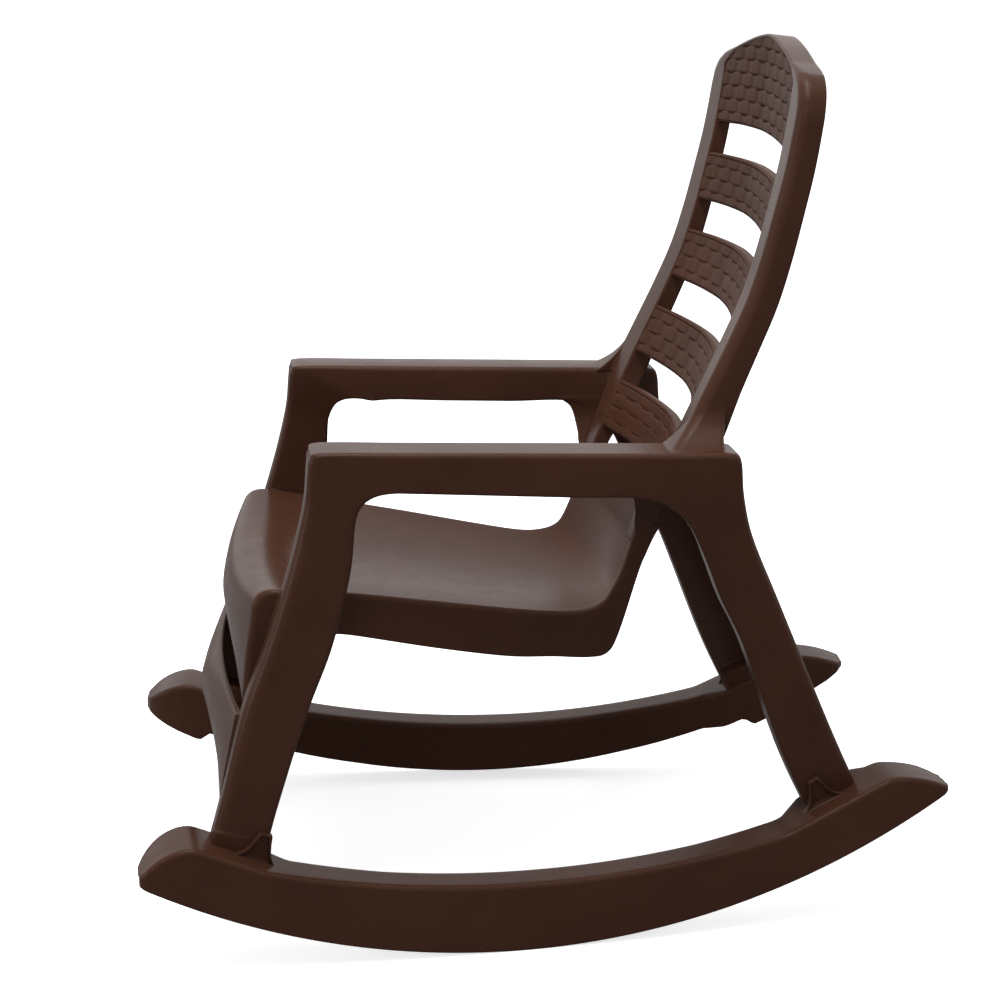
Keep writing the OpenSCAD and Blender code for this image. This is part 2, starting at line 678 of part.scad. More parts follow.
// Crown: a soft ogee from the shoulder to the middle
crown_x = back_half_w - 66;
function crown_z(x) = shoulder_z + 1 + (crown_h - 1) * pow(cos(90 * min(1, abs(x) / crown_x)), 1.6);
crown_rows = [
  for (k = [1 : 6])
    let (x = crown_x * (1 - k / 6))
    [[x, crown_z(x)], [x, crown_z(x) - 11]]
];
right_rows = concat(stile_rows, shoulder_rows, crown_rows);
left_rows = [for (k = [len(right_rows) - 2 : -1 : 0])
  let (r = right_rows[k])
  [[-r[0][0], r[0][1]], [-r[1][0], r[1][1]], r[2]]];
back_rows = concat(right_rows, left_rows);
function back_ring(r) = let (
  w = norm(r[1] - r[0]),
  e = (r[1] - r[0]) / w,
  z = r[0][1],
  t = back_wall,
  c = min(edge_r, w / 3),
  s = r[2] == undef ? 0 : r[2],
  d = at_place(wall_line, z) - s,
  i = mix(t + 1, d * 0.6, max(0, min(1, (w - 13) / 30)))
) [
  for (q = [
    [0, d], [0, c], [c * 0.3, c * 0.3], [c, 0],
    [w - 2, 0], [w - 0.6, 0.6], [w, 2], [w, i],
    [w - t, i], [w - t, t], [t, t], [t, d]
  ]) back_point(r[0][0] + e[0] * q[0], r[0][1] + e[1] * q[0], q[1] + s)
];

module back_frame() {
  loft([for (r = back_rows) back_ring(r)], channel_caps);
}

// Slat: a bowed strip with a return flange along both edges
slat_end = inner_x + 2.5;
slat_flange = 11;
function slat_ring(x, z0, z1) = let (
  a = slat_arch * (1 - pow(x / slat_end, 2)),
  t = back_wall
) [
  for (q = [
    [z1, 0], [(z0 + z1) / 2, 0], [z0, 0], [z0, slat_flange],
    [z0 + t, slat_flange], [z0 + t, t], [z1 - t, t], [z1 - t, slat_flange], [z1, slat_flange]
  ]) back_point(x, q[0] + a, slat_recess + q[1])
];
slat_caps = [[1, 2, 3, 4, 5], [0, 1, 5, 6], [0, 6, 7, 8]];
module slat(z0) {
  loft([for (k = [4 : -1 : -4]) slat_ring(slat_end * k / 4, z0, z0 + slat_h)], slat_caps);
}
function slat_z(k) = top_panel_z - (k + 1) * (slat_gap + slat_h);

// Top panel: fills the frame from its arched lower edge to the crown
panel_steps = 4;
function panel_ring(x) = let (
  lo = top_panel_z + slat_arch * (1 - pow(x / slat_end, 2)),
  hi = abs(x) < crown_x ? crown_z(x) - 7 : shoulder_z - 9
) concat(
  [for (k = [panel_steps : -1 : 0]) back_point(x, mix(lo, hi, k / panel_steps), slat_recess)],
  [back_point(x, lo, slat_recess + slat_flange)],
  [back_point(x, lo + back_wall, slat_recess + slat_flange)],
  [for (k = [0 : panel_steps])
    back_point(x, mix(lo + back_wall, hi, k / panel_steps), slat_recess + back_wall)]
);
panel_caps = concat(
  [[panel_steps, panel_steps + 1, panel_steps + 2, panel_steps + 3]],
  [for (k = [0 : panel_steps - 1])
    [panel_steps - 1 - k, panel_steps - k, panel_steps + 3 + k, panel_steps + 4 + k]]
);
module top_panel() {
  loft([for (k = [6 : -1 : -6]) panel_ring(slat_end * k / 6)], panel_caps);
}

// Flare where a stile runs into the arm
flare_h = 44;
flare_r = 34;
flare_front = 20;
module arm_flare() {
  base = arm_top_z(150);
  loft(
    [for (k = [5 : -1 : 0]) let (
      t = k / 5,
      z = base - 3 + (flare_h + 3) * t,
      f = pow(1 - t, 2.3),
      a = back_lean(z),
      y = at_place(back_line, z),
      x = back_half_w - 9,
      d = at_place(wall_line, z) * cos(a)
    ) [
      [x, y + 3 - flare_front * f, z],
      [x + 8 + flare_r * f, y + 5 - flare_front * f * 0.6, z],
      [x + 8 + flare_r * f, min(arm_rear_y - 3, y + d - 1 + 6 * f), z],
      [x, min(arm_rear_y - 3, y + d - 1 + 6 * f), z]
    ]],
    [[0, 1, 2, 3]]
  );
}

module chair_shell() {
  color(brown)
    union() {
      both_sides() {
        side_frame();
        arm_inner_side();
        foot_plug(front_foot_y, -front_lean);
        foot_plug(rear_foot_y, rear_lean);
        arm_flare();
        for (k = [0 : 3])
          arm_rib(mix(arm_front_y + 95, arm_rear_y - 110, k / 3));
      }
      seat_sheet();
      lower_back_flange();
      front_brace();
      back_frame();
      top_panel();
      for (k = [0 : slat_count - 1])
        slat(slat_z(k));
    }
}

chair_shell();
runner();  // runner_right
mirror([1, 0, 0]) runner();  // runner_left
foot_screw(front_foot_y, -front_lean);  // foot_screw_front_right
foot_screw(rear_foot_y, rear_lean);  // foot_screw_rear_right
mirror([1, 0, 0]) foot_screw(front_foot_y, -front_lean);  // foot_screw_front_left
mirror([1, 0, 0]) foot_screw(rear_foot_y, rear_lean);  // foot_screw_rear_left
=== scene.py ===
"""Plastic rocking chair: the moulded shell, its woven panels and the two runners, dressed for rendering."""

import math

import bpy
from bpy.props import FloatProperty, FloatVectorProperty, PointerProperty
from bpy.types import Operator, Panel, PropertyGroup
from mathutils import Matrix, Vector


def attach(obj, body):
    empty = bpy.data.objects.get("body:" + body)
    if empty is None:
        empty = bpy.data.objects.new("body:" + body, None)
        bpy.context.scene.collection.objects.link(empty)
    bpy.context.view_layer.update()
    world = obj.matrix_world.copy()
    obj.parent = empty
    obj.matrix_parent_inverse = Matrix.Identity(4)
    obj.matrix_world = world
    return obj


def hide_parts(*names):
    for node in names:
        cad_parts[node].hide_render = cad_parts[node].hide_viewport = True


bl_info = {
    "name": "Rocking chair",
    "version": (1, 0, 0),
    "blender": (4, 5, 0),
    "location": "3D View > Sidebar > Chair",
    "description": "Builds the moulded shell and the runners of a plastic rocking chair",
    "category": "Object",
}

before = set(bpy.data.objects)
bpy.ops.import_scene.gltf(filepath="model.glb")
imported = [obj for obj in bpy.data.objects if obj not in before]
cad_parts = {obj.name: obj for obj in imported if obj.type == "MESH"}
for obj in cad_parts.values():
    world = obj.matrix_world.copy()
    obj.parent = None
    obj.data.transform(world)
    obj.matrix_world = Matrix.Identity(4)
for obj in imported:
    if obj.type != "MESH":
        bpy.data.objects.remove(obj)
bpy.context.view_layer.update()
MM = 0.001

# Sizes of the moulded chair, in millimetres. The arm's top is highest at ARM_CREST behind its front end, and
# the legs spread from LEG_SPREAD under it
SHELL_WALL = 4.0
BACK_WALL = 3.2
RUNNER_LEN, RUNNER_RADIUS, RUNNER_LOW_Y, RUNNER_DEPTH, RUNNER_TOP_RADIUS = 960.0, 920.0, -34.0, 82.0, 1270.0
RUNNER_W, TOE_W, SOCKET_W, TAIL_W, RUNNER_WALL, SIDE_STEP = 46.0, 80.0, 77.0, 60.0, 4.0, 15.0
RUNNER_TOP_SHIFT, END_ROUND = 14.0, 9.0
HALF_TRACK, TOE_IN = 299.6, 4.3
FRONT_FOOT_Y, REAR_FOOT_Y, FRONT_LEAN, REAR_LEAN = -367.0, 344.0, 15.6, 25.0
FOOT_LEDGE, FOOT_W, FOOT_L, FOOT_DEPTH, FOOT_GAP = 36.0, 35.0, 62.0, 42.0, 0.3
FEET = ((FRONT_FOOT_Y, -FRONT_LEAN), (REAR_FOOT_Y, REAR_LEAN))
LUG_H, LUG_L, LUG_TOP_L, LUG_T, LUG_RIM = 34.0, 50.0, 15.0, 9.0, 3.4
LUG_PLACES = (FRONT_FOOT_Y + 20, REAR_FOOT_Y - 12)
ARM_Z, ARM_DROP, ARM_FRONT_Y, ARM_REAR_Y = 598.0, 16.0, -277.0, 214.0
ARM_X, ARM_W, ARM_DEPTH, ARM_CREST, LEG_SPREAD = 290.0, 65.0, 46.0, 27.0, 40.0
LEG_W, FRONT_LEG_T, REAR_LEG_T, ARM_LIP = 70.0, 47.0, 40.0, 12.0
RIB_COUNT, RIB_T = 4, 3.0
SEAT_Z, SEAT_FRONT_Y, SEAT_HALF_W, SEAT_BACK_HALF_W = 432.0, -341.0, 246.0, 190.0
SEAT_DROP, SEAT_DISH, SEAT_BOW, SKIRT_H, SEAT_END_Z = 54.0, 26.0, 30.0, 69.0, 490.0
BACK_Z, BACK_HALF_W, STILE_W, BACK_BOW, CROWN_BOW, CROWN_H = 1034.0, 238.0, 60.0, 30.0, 2.5, 31.0
SLAT_COUNT, SLAT_H, SLAT_GAP, SLAT_ARCH, SLAT_RECESS, SLAT_FLANGE = 4, 60.0, 38.0, 7.0, 3.0, 11.0
TOP_PANEL_Z, PANEL_SINK = 914.0, 3.4
BRACE_Z, BRACE_H, BRACE_BOW, BRACE_DROP, BRACE_END_Y, BRACE_BELLY = 287.0, 60.0, 18.0, 40.0, -364.0, 11.0
BRACE_FOOT, BRACE_FOOT_BOW = 21.0, 15.0
FLARE_H, FLARE_SINK, FLARE_SPREAD, FLARE_FORWARD, FLARE_BACK = 56.0, 3.0, 48.0, 22.0, 8.0

# Steps along the skins
STILE_STEPS, CROWN_STEPS, SHELF_STEPS, BRACE_STEPS, FLARE_STEPS = 45, 20, 20, 32, 14
RUNNER_STEPS, END_STEPS = 150, 8

# The photograph's view: turn from the chair's side, tilt and roll in degrees, lens and sensor in millimetres,
# distance and target in metres
CAMERA_TURN, CAMERA_TILT, CAMERA_ROLL = 7.07, 14.1, -0.13
CAMERA_LENS, CAMERA_SENSOR = 85.68, 36.0
CAMERA_DISTANCE, CAMERA_TARGET = 2.957, (0.0, -0.0276, 0.4662)

# Each lamp's name, place, aim, width and height in metres, and power in watts
LAMPS = (
    ("key_softbox", (0.3, -0.3, 3.4), (0, 0, 0.4), 2.6, 2.4, 46),
    ("strip_softbox", (0.6, -0.2, 3.2), (0.1, -0.1, 0.4), 0.3, 2.6, 36),
    ("side_softbox", (3.6, -1.8, 2.2), (0, 0, 0.5), 1.6, 1.6, 9),
    ("front_softbox", (0.6, -3.4, 0.9), (0, 0, 0.5), 0.4, 1.5, 17),
    ("rim_softbox", (-1.4, 3.2, 2.0), (0, 0, 0.6), 1.8, 2.0, 14),
)

# Levels of floor and world: in plain light, to the camera, and in reflections
FLOOR_TONE = (0.4, 0.95, 0.3)
FLOOR_GLOW = (0.0, 1.0, 0.12)
WORLD_LEVEL = (0.42, 1.0, 1.0)
# The floor's glow rises to white between two distances from the chair, in metres
GLOW_START, GLOW_END, GLOW_LOW = 0.75, 1.7, 0.7
FLOOR_DROP = 0.0006


def mix(a, b, t):
    """Value between a and b."""
    return a + (b - a) * t


def clamp(v, lo=0.0, hi=1.0):
    """Value held between two limits."""
    return max(lo, min(hi, v))


def curve_at(points, i, t):
    """Point on the smooth curve through the given points, in span i."""
    last = len(points) - 1
    a, b, c, d = (points[clamp(k, 0, last)] for k in (i - 1, i, i + 1, i + 2))
    return [
        0.5 * (2 * q + (r - p) * t + (2 * p - 5 * q + 4 * r - s) * t * t + (3 * q - p - 3 * r + s) * t ** 3)
        for p, q, r, s in zip(a, b, c, d)
    ]


def smooth_path(points, steps):
    """The smooth curve through the points, with so many steps to each span."""
    out = [curve_at(points, i, k / steps) for i in range(len(points) - 1) for k in range(steps)]
    return out + [list(points[-1])]


def at_place(knots, z):
    """Value at place z of a curve of (place, value) knots."""
    i = max(k for k in range(len(knots) - 1) if k == 0 or knots[k][0] <= z)
    t = (z - knots[i][0]) / (knots[i + 1][0] - knots[i][0])
    return curve_at(knots, i, t)[1]


def arc(cx, cy, radius, start, end, steps):
    """Points on an arc, angles in degrees."""
    return [
        (cx + radius * math.cos(math.radians(a)), cy + radius * math.sin(math.radians(a)))
        for a in (mix(start, end, k / steps) for k in range(steps + 1))
    ]


# Runner outline, seen from the side
TOE_Y, TAIL_Y = -RUNNER_LEN / 2, RUNNER_LEN / 2


def bottom_z(y):
    """Height of the edge that rolls on the floor."""
    return RUNNER_RADIUS - math.sqrt(RUNNER_RADIUS ** 2 - (y - RUNNER_LOW_Y) ** 2)


def arc_top_z(y):
    """Height of the runner's top between the feet."""
    offset = y - RUNNER_LOW_Y - RUNNER_TOP_SHIFT
    return RUNNER_DEPTH + RUNNER_TOP_RADIUS - math.sqrt(RUNNER_TOP_RADIUS ** 2 - offset ** 2)


TOE_CREST_Y = FRONT_FOOT_Y - 51
TOE_CREST_Z = bottom_z(TOE_CREST_Y) + 73
FRONT_RAMP_Y = FRONT_FOOT_Y + 29
TAIL_CREST_Y = REAR_FOOT_Y + 62
TAIL_CREST_Z = bottom_z(TAIL_CREST_Y) + 66
REAR_RAMP_Y = REAR_FOOT_Y - 64
TOE_TIP_Z = bottom_z(TOE_Y) + 10
TOE_ARC_R = ((TOE_CREST_Y - TOE_Y) ** 2 + (TOE_CREST_Z - TOE_TIP_Z) ** 2) / 2 / (TOE_CREST_Z - TOE_TIP_Z)


def ramp_z(y, y0, y1, z1):
    """Height on the straight ramp beside a foot."""
    return mix(arc_top_z(y0), z1, (y - y0) / (y1 - y0))


def top_z(y):
    """Height of the runner's top."""
    if y < TOE_CREST_Y:
        return TOE_CREST_Z - TOE_ARC_R + math.sqrt(TOE_ARC_R ** 2 - (TOE_CREST_Y - y) ** 2)
    if y < FRONT_RAMP_Y:
        return ramp_z(y, FRONT_RAMP_Y, TOE_CREST_Y, TOE_CREST_Z)
    if y < REAR_RAMP_Y:
        return arc_top_z(y)
    if y < TAIL_CREST_Y:
        return ramp_z(y, REAR_RAMP_Y, TAIL_CREST_Y, TAIL_CREST_Z)
    t = (y - TAIL_CREST_Y) / (TAIL_Y - TAIL_CREST_Y)
    return mix(TAIL_CREST_Z, bottom_z(TAIL_Y) + 5, t ** 2.2)


EASING = ((-7, 1), (-3.5, 2), (0, 2), (3.5, 2), (7, 1))


def soft_top_z(y):
    """The runner's top with its corners eased, as a weighted mean over the places beside y."""
    total = sum(top_z(clamp(y + d, TOE_Y, TAIL_Y)) * weight for d, weight in EASING)
    return total / sum(weight for d, weight in EASING)


WIDTH_KNOTS = [
    (TOE_Y, 0.5 * TOE_W), (TOE_Y + 5, 0.68 * TOE_W), (TOE_Y + 14, 0.83 * TOE_W),
    (TOE_Y + 28, 0.94 * TOE_W), (TOE_Y + 46, TOE_W), (FRONT_FOOT_Y - 26, TOE_W),
    (FRONT_FOOT_Y - 12, SOCKET_W), (FRONT_FOOT_Y + 30, SOCKET_W), (FRONT_FOOT_Y + 58, RUNNER_W + 7),
    (FRONT_FOOT_Y + 170, RUNNER_W), (REAR_FOOT_Y - 170, RUNNER_W), (REAR_FOOT_Y - 58, RUNNER_W + 7),
    (REAR_FOOT_Y - 30, SOCKET_W), (REAR_FOOT_Y + 36, SOCKET_W), (REAR_FOOT_Y + 50, TAIL_W + 4),
    (TAIL_Y - 22, TAIL_W), (TAIL_Y - 8, 0.88 * TAIL_W), (TAIL_Y, 0.68 * TAIL_W),
]
RUNNER_SHIFT_Y = (END_ROUND + TOE_W / 2) / 2 * math.sin(math.radians(TOE_IN))


def runner_width(y):
    """Width of the runner at a place along it."""
    for (a, wa), (b, wb) in zip(WIDTH_KNOTS, WIDTH_KNOTS[1:]):
        if y <= b:
            return mix(wa, wb, (y - a) / (b - a))
    return WIDTH_KNOTS[-1][1]


def runner_face(y):
    """Inward step of the outer face where an end is rounded in plan."""
    s = min(y - TOE_Y, TAIL_Y - y)
    return 0.0 if s >= END_ROUND else END_ROUND - math.sqrt(max(0.0, END_ROUND ** 2 - (END_ROUND - s) ** 2))


def runner_point(x, y, z):
    """Place in the chair of a point in the right runner's own frame."""
    a = math.radians(TOE_IN)
    return (
        HALF_TRACK + x * math.cos(a) - y * math.sin(a),
        RUNNER_SHIFT_Y + x * math.sin(a) + y * math.cos(a),
        z,
    )


def rounded_plan(w, l, r, steps):
    """Rectangle with rounded corners, of two half sizes."""
    corners = ((1, 1), (-1, 1), (-1, -1), (1, -1))
    return [
        point for k, (i, j) in enumerate(corners)
        for point in arc(i * (w - r), j * (l - r), r, 90 * k, 90 * (k + 1), steps)
    ]


def foot_ring(y, lean, up, w, l, r, steps):
    """Ring square to a leaning foot, up along it from the runner's top, of two half sizes."""
    a = math.radians(lean)
    return [
        runner_point(-FOOT_LEDGE - FOOT_W / 2 + p, y + math.cos(a) * q - math.sin(a) * up,
                     top_z(y) + math.sin(a) * q + math.cos(a) * up)
        for p, q in rounded_plan(w, l, r, steps)
    ]


# Side frame: front leg, arm and rear leg in one sweep
FRONT_FOOT = runner_point(-FOOT_LEDGE, FRONT_FOOT_Y, top_z(FRONT_FOOT_Y))
REAR_FOOT = runner_point(-FOOT_LEDGE, REAR_FOOT_Y, top_z(REAR_FOOT_Y))


def arm_top_z(y):
    """Height of the arm's top."""
    return ARM_Z - ARM_DROP / (ARM_REAR_Y - ARM_FRONT_Y) * (y - ARM_FRONT_Y - ARM_CREST)


def foot_pair(p, lean, side, up, w):
    """Outer and inner edge of a leg at a height above its foot."""
    a = math.radians(lean)
    y, z = p[1] - math.sin(a) * up, p[2] + math.cos(a) * up
    dy, dz = math.cos(a) * w / 2 * side, math.sin(a) * w / 2 * side
    return [y - dy, z - dz, y + dy, z + dz]


def side_x(y, z):
    """Distance of the side frame's outer face from the middle plane."""
    foot = FRONT_FOOT if y < 0 else REAR_FOOT
    return mix(ARM_X, foot[0], clamp((ARM_Z - LEG_SPREAD - z) / (ARM_Z - LEG_SPREAD - foot[2])))


def side_rows():
    """Rows along the side frame: outer y, z, inner y, z, two depths, drop of the inner wall, two radii."""
    front, rear, top = ARM_FRONT_Y, ARM_REAR_Y, ARM_Z
    mid = arm_top_z(0)
    t1, t2, hook = FRONT_LEG_T, REAR_LEG_T, SHELL_WALL + 1.5
    rows = [
        foot_pair(FRONT_FOOT, -FRONT_LEAN, 1, -7, FOOT_L + 3) + [FOOT_W + 1, FOOT_W + 1, hook, 12, 5],
        foot_pair(FRONT_FOOT, -FRONT_LEAN, 1, 60, LEG_W - 6) + [t1 - 5, t1 - 5, hook, 14, 5],
        [-356, 300, -284, 294, t1, t1, hook + 4, 15, 6],
        [-327, 378, -254, 372, t1, t1, 34, 15, 6],
        [-300, 462, -232, 456, t1, t1, 62, 14, 6],
        [front - 5, top - 66, front + 52, top - 82, t1 + 2, ARM_LIP + 8, 56, 12, 5],
        [front, top - 24, front + 60, top - 62, t1 + 10, ARM_LIP, 66, 9, 5],
        [front + 3, top - 7, front + 74, top - 52, ARM_W - 3, ARM_LIP, 76, 7, 4],
        [front + 15, top, front + 94, top - ARM_DEPTH - 2.5, ARM_W, ARM_LIP, 86, 6.5, 4],
    ]
    for k in range(4):
        y = mix(front + 110, rear - 122, k / 3)
        rows.append([y - 10, arm_top_z(y - 10), y + 12, arm_top_z(y) - ARM_DEPTH - 1 - 2 * k, ARM_W, ARM_LIP,
                     ARM_DEPTH + 4, 6.5, 4])
    rows += [
        [rear - 50, arm_top_z(rear - 50), rear - 74, mid - 74, ARM_W, ARM_LIP, 62, 6.5, 4],
        [rear - 14, arm_top_z(rear - 14), rear - 60, mid - 90, ARM_W, ARM_LIP, 60, 7, 4],
        [rear - 1, arm_top_z(rear) - 8, rear - 51, mid - 107, ARM_W - 6, ARM_LIP + 2, 52, 9, 5],
        [rear + 5, arm_top_z(rear) - 52, rear - 37, mid - 138, t2 + 6, 30, 26, 12, 5],
        [rear + 18, 480, rear - 18, 405, t2, 34, 10, 13, 6],
        [rear + 52, 401, rear + 12, 344, t2, 36, hook, 13, 6],
        foot_pair(REAR_FOOT, REAR_LEAN, -1, 84, LEG_W - 4) + [t2 - 2, t2 - 2, hook, 12, 5],
        foot_pair(REAR_FOOT, REAR_LEAN, -1, -7, FOOT_L + 4) + [FOOT_W + 1, FOOT_W + 1, hook, 11, 5],
    ]
    return rows


def channel(w, d1, d2, drop, r1, r2, t=SHELL_WALL, inner_round=6.5):
    """Section of a rounded channel: (place across the face, depth), outside first, then back inside.

    The face has depth d1 and edge radius r1 on one side, d2 and r2 on the other, and the inner wall, at depth
    d1, comes down by drop.
    """
    r3 = min(inner_round, drop - 1.0, d1 * 0.4)
    r1 = min(r1, w * 0.42, d1 - r3 - 0.5)
    r2 = min(r2, w * 0.42, d2 - 0.5)
    i1, i2 = max(r1 - t, 1.0), max(r2 - t, 1.0)
    out = [(drop, d1)] + arc(r3, d1 - r3, r3, 90, 180, 4) + arc(r1, r1, r1, 180, 270, 6)
    out += arc(w - r2, r2, r2, 270, 360, 4) + [(w, d2)]
    back = [(w - t, d2)] + arc(w - t - i2, t + i2, i2, 0, -90, 3) + arc(t + i1, t + i1, i1, 270, 180, 4)
    return out + back + [(t, d1 - t), (drop, d1 - t)]


# The back is laid out on a curved surface by x, height and depth. Its lines are (height, value) knots
BACK_LINE = [
    (380, 78), (440, 95), (500, 113), (560, 138), (600, 157), (650, 181), (700, 205), (750, 227),
    (800, 243), (850, 256), (900, 268), (950, 277), (1000, 284), (1080, 292),
]
HALF_W_LINE = [
    (380, SEAT_BACK_HALF_W), (440, SEAT_BACK_HALF_W + 6), (490, SEAT_BACK_HALF_W + 16),
    (550, BACK_HALF_W - 16), (600, BACK_HALF_W), (700, BACK_HALF_W), (940, BACK_HALF_W), (1100, BACK_HALF_W),
]
WALL_LINE = [
    (380, 22), (440, 22), (490, 27), (540, 37), (600, 44), (660, 38), (720, 35), (820, 33), (940, 31),
    (1100, 29),
]
FACE_SLOPE = 0.04


def back_lean(z):
    """Lean of the back at a height, in radians."""
    return math.atan((at_place(BACK_LINE, z + 5) - at_place(BACK_LINE, z - 5)) / 10)


def half_w(z):
    """Half the width of the back at a height."""
    return at_place(HALF_W_LINE, z)


def back_point(x, z, d):
    """Point of the back at x and height z, d behind its face."""
    w, a = half_w(z), back_lean(z)
    bow = mix(BACK_BOW, CROWN_BOW, clamp((z - SEAT_Z) / (BACK_Z - SEAT_Z)))
    k = d + bow * max(0.0, 1 - (x / (w - STILE_W * 0.7)) ** 2) + FACE_SLOPE * (w - abs(x))
    return (x, at_place(BACK_LINE, z) + math.cos(a) * k, z - math.sin(a) * k)


def seat_rows():
    """Rows along the seat: half width, edge y, z, middle y, z, skirt end y, z, two powers of the curve."""
    w, front, bow, top = SEAT_HALF_W, SEAT_FRONT_Y, SEAT_BOW, SEAT_Z
    end_w, rear = SEAT_BACK_HALF_W, SEAT_Z - SEAT_DROP
    dish, skirt = SEAT_DISH, SKIRT_H
    rows = [
        [w - 8, front - 14, BRACE_Z + 8, front - bow, BRACE_Z + 63, front - 7, BRACE_Z + 6, 1.6, 3],
        [w - 4, front - 9, top - 85, front - bow - 1, top - 71, front + 14, top - 104, 1.8, 2.4],
        [w - 1, front - 1, top - 34, front - bow - 1, top - 60, front + 40, top - 88],
        [w, front + 2, top - 14, front - bow + 6, top - 34, front + 52, top - 76],
        [w, front + 11, top - 3, front - bow + 17, top - 19, front + 62, top - 68],
        [w, front + 28, top, front + 6, top - 12, front + 72, top - 60],
        [w - 5, front + 60, top - 4, front + 40, top - 17, front + 88, top - 58],
        [w - 16, front + 111, top - 11, front + 92, top - dish - 8, front + 111, top - 62],
        [w - 28, front + 211, top - 28, front + 202, top - dish - 28, front + 209, top - 85],
        [w - 41, front + 301, top - 44, front + 301, top - dish - 45, front + 296, top - 103],
        [end_w + 5, 20, rear + 1, 22, rear - dish + 2, 12, rear - skirt + 14],
        [end_w + 1, 50, rear + 2, 62, rear - dish + 2, 52, rear - skirt + 10],
        [end_w, 69, rear + 9, 92, rear - dish + 11, 76, rear - skirt + 14],
        [end_w, 79, rear + 22, 109, rear - 1, 90, rear - skirt + 38],
    ]
    for z in (428, 449, 470, SEAT_END_Z):
        w = half_w(z)
        edge, middle = back_point(w, z, 0), back_point(0, z, 0)
        end = back_point(w, z, at_place(WALL_LINE, z))
        rows.append([w, *edge[1:], *middle[1:], *end[1:]])
    return [r if len(r) > 7 else r + [2, 2] for r in rows]


def sheet_point(row, x):
    """Point of the seat's upper face."""
    w, edge_y, edge_z, middle_y, middle_z, _, _, power_y, power_z = row
    t = abs(x / w)
    return Vector((x, mix(middle_y, edge_y, t ** power_y), mix(middle_z, edge_z, t ** power_z)))


def seat_ring(path, i, across=44, radius=7.0, t=SHELL_WALL):
    """Section across the seat: skirt, rolled edge, sheet, rolled edge and skirt, then back inside."""
    row = path[i]
    before, after = path[max(0, i - 1)], path[min(len(path) - 1, i + 1)]
    w, (edge_y, edge_z), (end_y, end_z) = row[0], row[1:3], row[5:7]
    down = Vector((0, end_y - edge_y, end_z - edge_z)).normalized()

    def normal(x):
        d = sheet_point(after, x) - sheet_point(before, x)
        return Vector((0, d.z, -d.y)).normalized()

    def line(half, r, offset):
        inner = half - r
        xs = [inner + r * math.sin(math.radians(a)) for a in (90, 72, 54, 36, 18, 0)]
        xs += [inner * (1 - 2 * k / across) for k in range(1, across)]
        xs += [-x for x in xs[5::-1]]
        out = []
        for x in xs:
            sag = r - math.sqrt(max(0.0, r * r - max(0.0, abs(x) - inner) ** 2))
            out.append(sheet_point(row, x) + normal(x) * offset + down * sag)
        return out

    outer = [Vector((w, end_y, end_z))] + line(w, radius, 0.0) + [Vector((-w, end_y, end_z))]
    inner = line(w - t, radius - t + 0.5, t)[::-1]
    return outer + [Vector((-w + t, end_y, end_z))] + inner + [Vector((w - t, end_y, end_z))]


# Frame of the back, round its woven panels
SHOULDER_Z = BACK_Z - CROWN_H
STILE_TOP_Z = SHOULDER_Z - 52
INNER_X = BACK_HALF_W - STILE_W
CROWN_X = BACK_HALF_W - 66
CROWN_FROM = CROWN_X * 5 / 6
SLAT_END = INNER_X + 4
CROWN_RIM = 5.0
# A stile widens under this height, by one in so many
STILE_FLARE_Z, STILE_FLARE = 600.0, 8.0


def stile_in(z):
    """Inner edge of a stile."""
    return half_w(z) - STILE_W + max(0.0, (STILE_FLARE_Z - z) / STILE_FLARE)


def crown_z(x):
    """Height of the crown's soft ogee."""
    t = min(1.0, abs(x) / CROWN_X)
    return SHOULDER_Z + 1 + (CROWN_H - 1) * (1 - t ** 1.55) ** 1.1


def back_rows():
    """Rows round the back's frame: outer x, z, inner x, z, sink."""
    low = SEAT_END_Z - 30
    rows = []
    for k in range(STILE_STEPS + 1):
        z = mix(low, STILE_TOP_Z, k / STILE_STEPS)
        sink = 1.6 * clamp((SEAT_END_Z + 6 - z) / 20)
        rows.append([half_w(z) - sink, z, stile_in(z), z, sink])
    w, top = BACK_HALF_W, SHOULDER_Z
    bend = [
        [w, STILE_TOP_Z, INNER_X, STILE_TOP_Z], [w - 1, top - 42, INNER_X, top - 46],
        [w - 6, top - 26, INNER_X, top - 38], [w - 16, top - 13, INNER_X, top - 31],
        [w - 31, top - 4, INNER_X, top - 23], [w - 48, top, INNER_X - 2, top - 14],
        [CROWN_FROM, crown_z(CROWN_FROM), CROWN_FROM, crown_z(CROWN_FROM) - CROWN_RIM],
    ]
    rows += [r + [0.0] for r in smooth_path(bend, 5)[1:]]
    for k in range(1, CROWN_STEPS + 1):
        x = CROWN_FROM * (1 - k / CROWN_STEPS)
        rows.append([x, crown_z(x), x, crown_z(x) - CROWN_RIM, 0.0])
    return rows + [[-r[0], r[1], -r[2], r[3], r[4]] for r in rows[-2::-1]]


def back_ring(row, edge=14.0, inner_edge=2.2):
    """Section of the back's frame, with the radii of its outer and inner edge."""
    x0, z0, x1, z1, sink = row
    w = math.hypot(x1 - x0, z1 - z0)
    ex, ez = (x1 - x0) / w, (z1 - z0) / w
    d = at_place(WALL_LINE, z0) - sink
    t = BACK_WALL
    i = mix(t + 1.5, d * 0.6, clamp((w - 13) / 30))
    r1, r2 = min(edge, w * 0.45), inner_edge
    a1 = max(r1 - t, 1.0)
    out = [(0, d)] + arc(r1, r1, r1, 180, 270, 7) + arc(w - r2, r2, r2, 270, 360, 4) + [(w, i)]
    if w > 2 * t + 2 * a1:
        back = [(w - t, i), (w - t, t + 0.6), (w - t - 0.6, t)] + arc(t + a1, t + a1, a1, 270, 180, 4)
    else:
        back = [(mix(w, t, k / 8), i) for k in range(1, 9)]
    return [back_point(x0 + ex * p, z0 + ez * p, q + sink) for p, q in out + back + [(t, d)]]


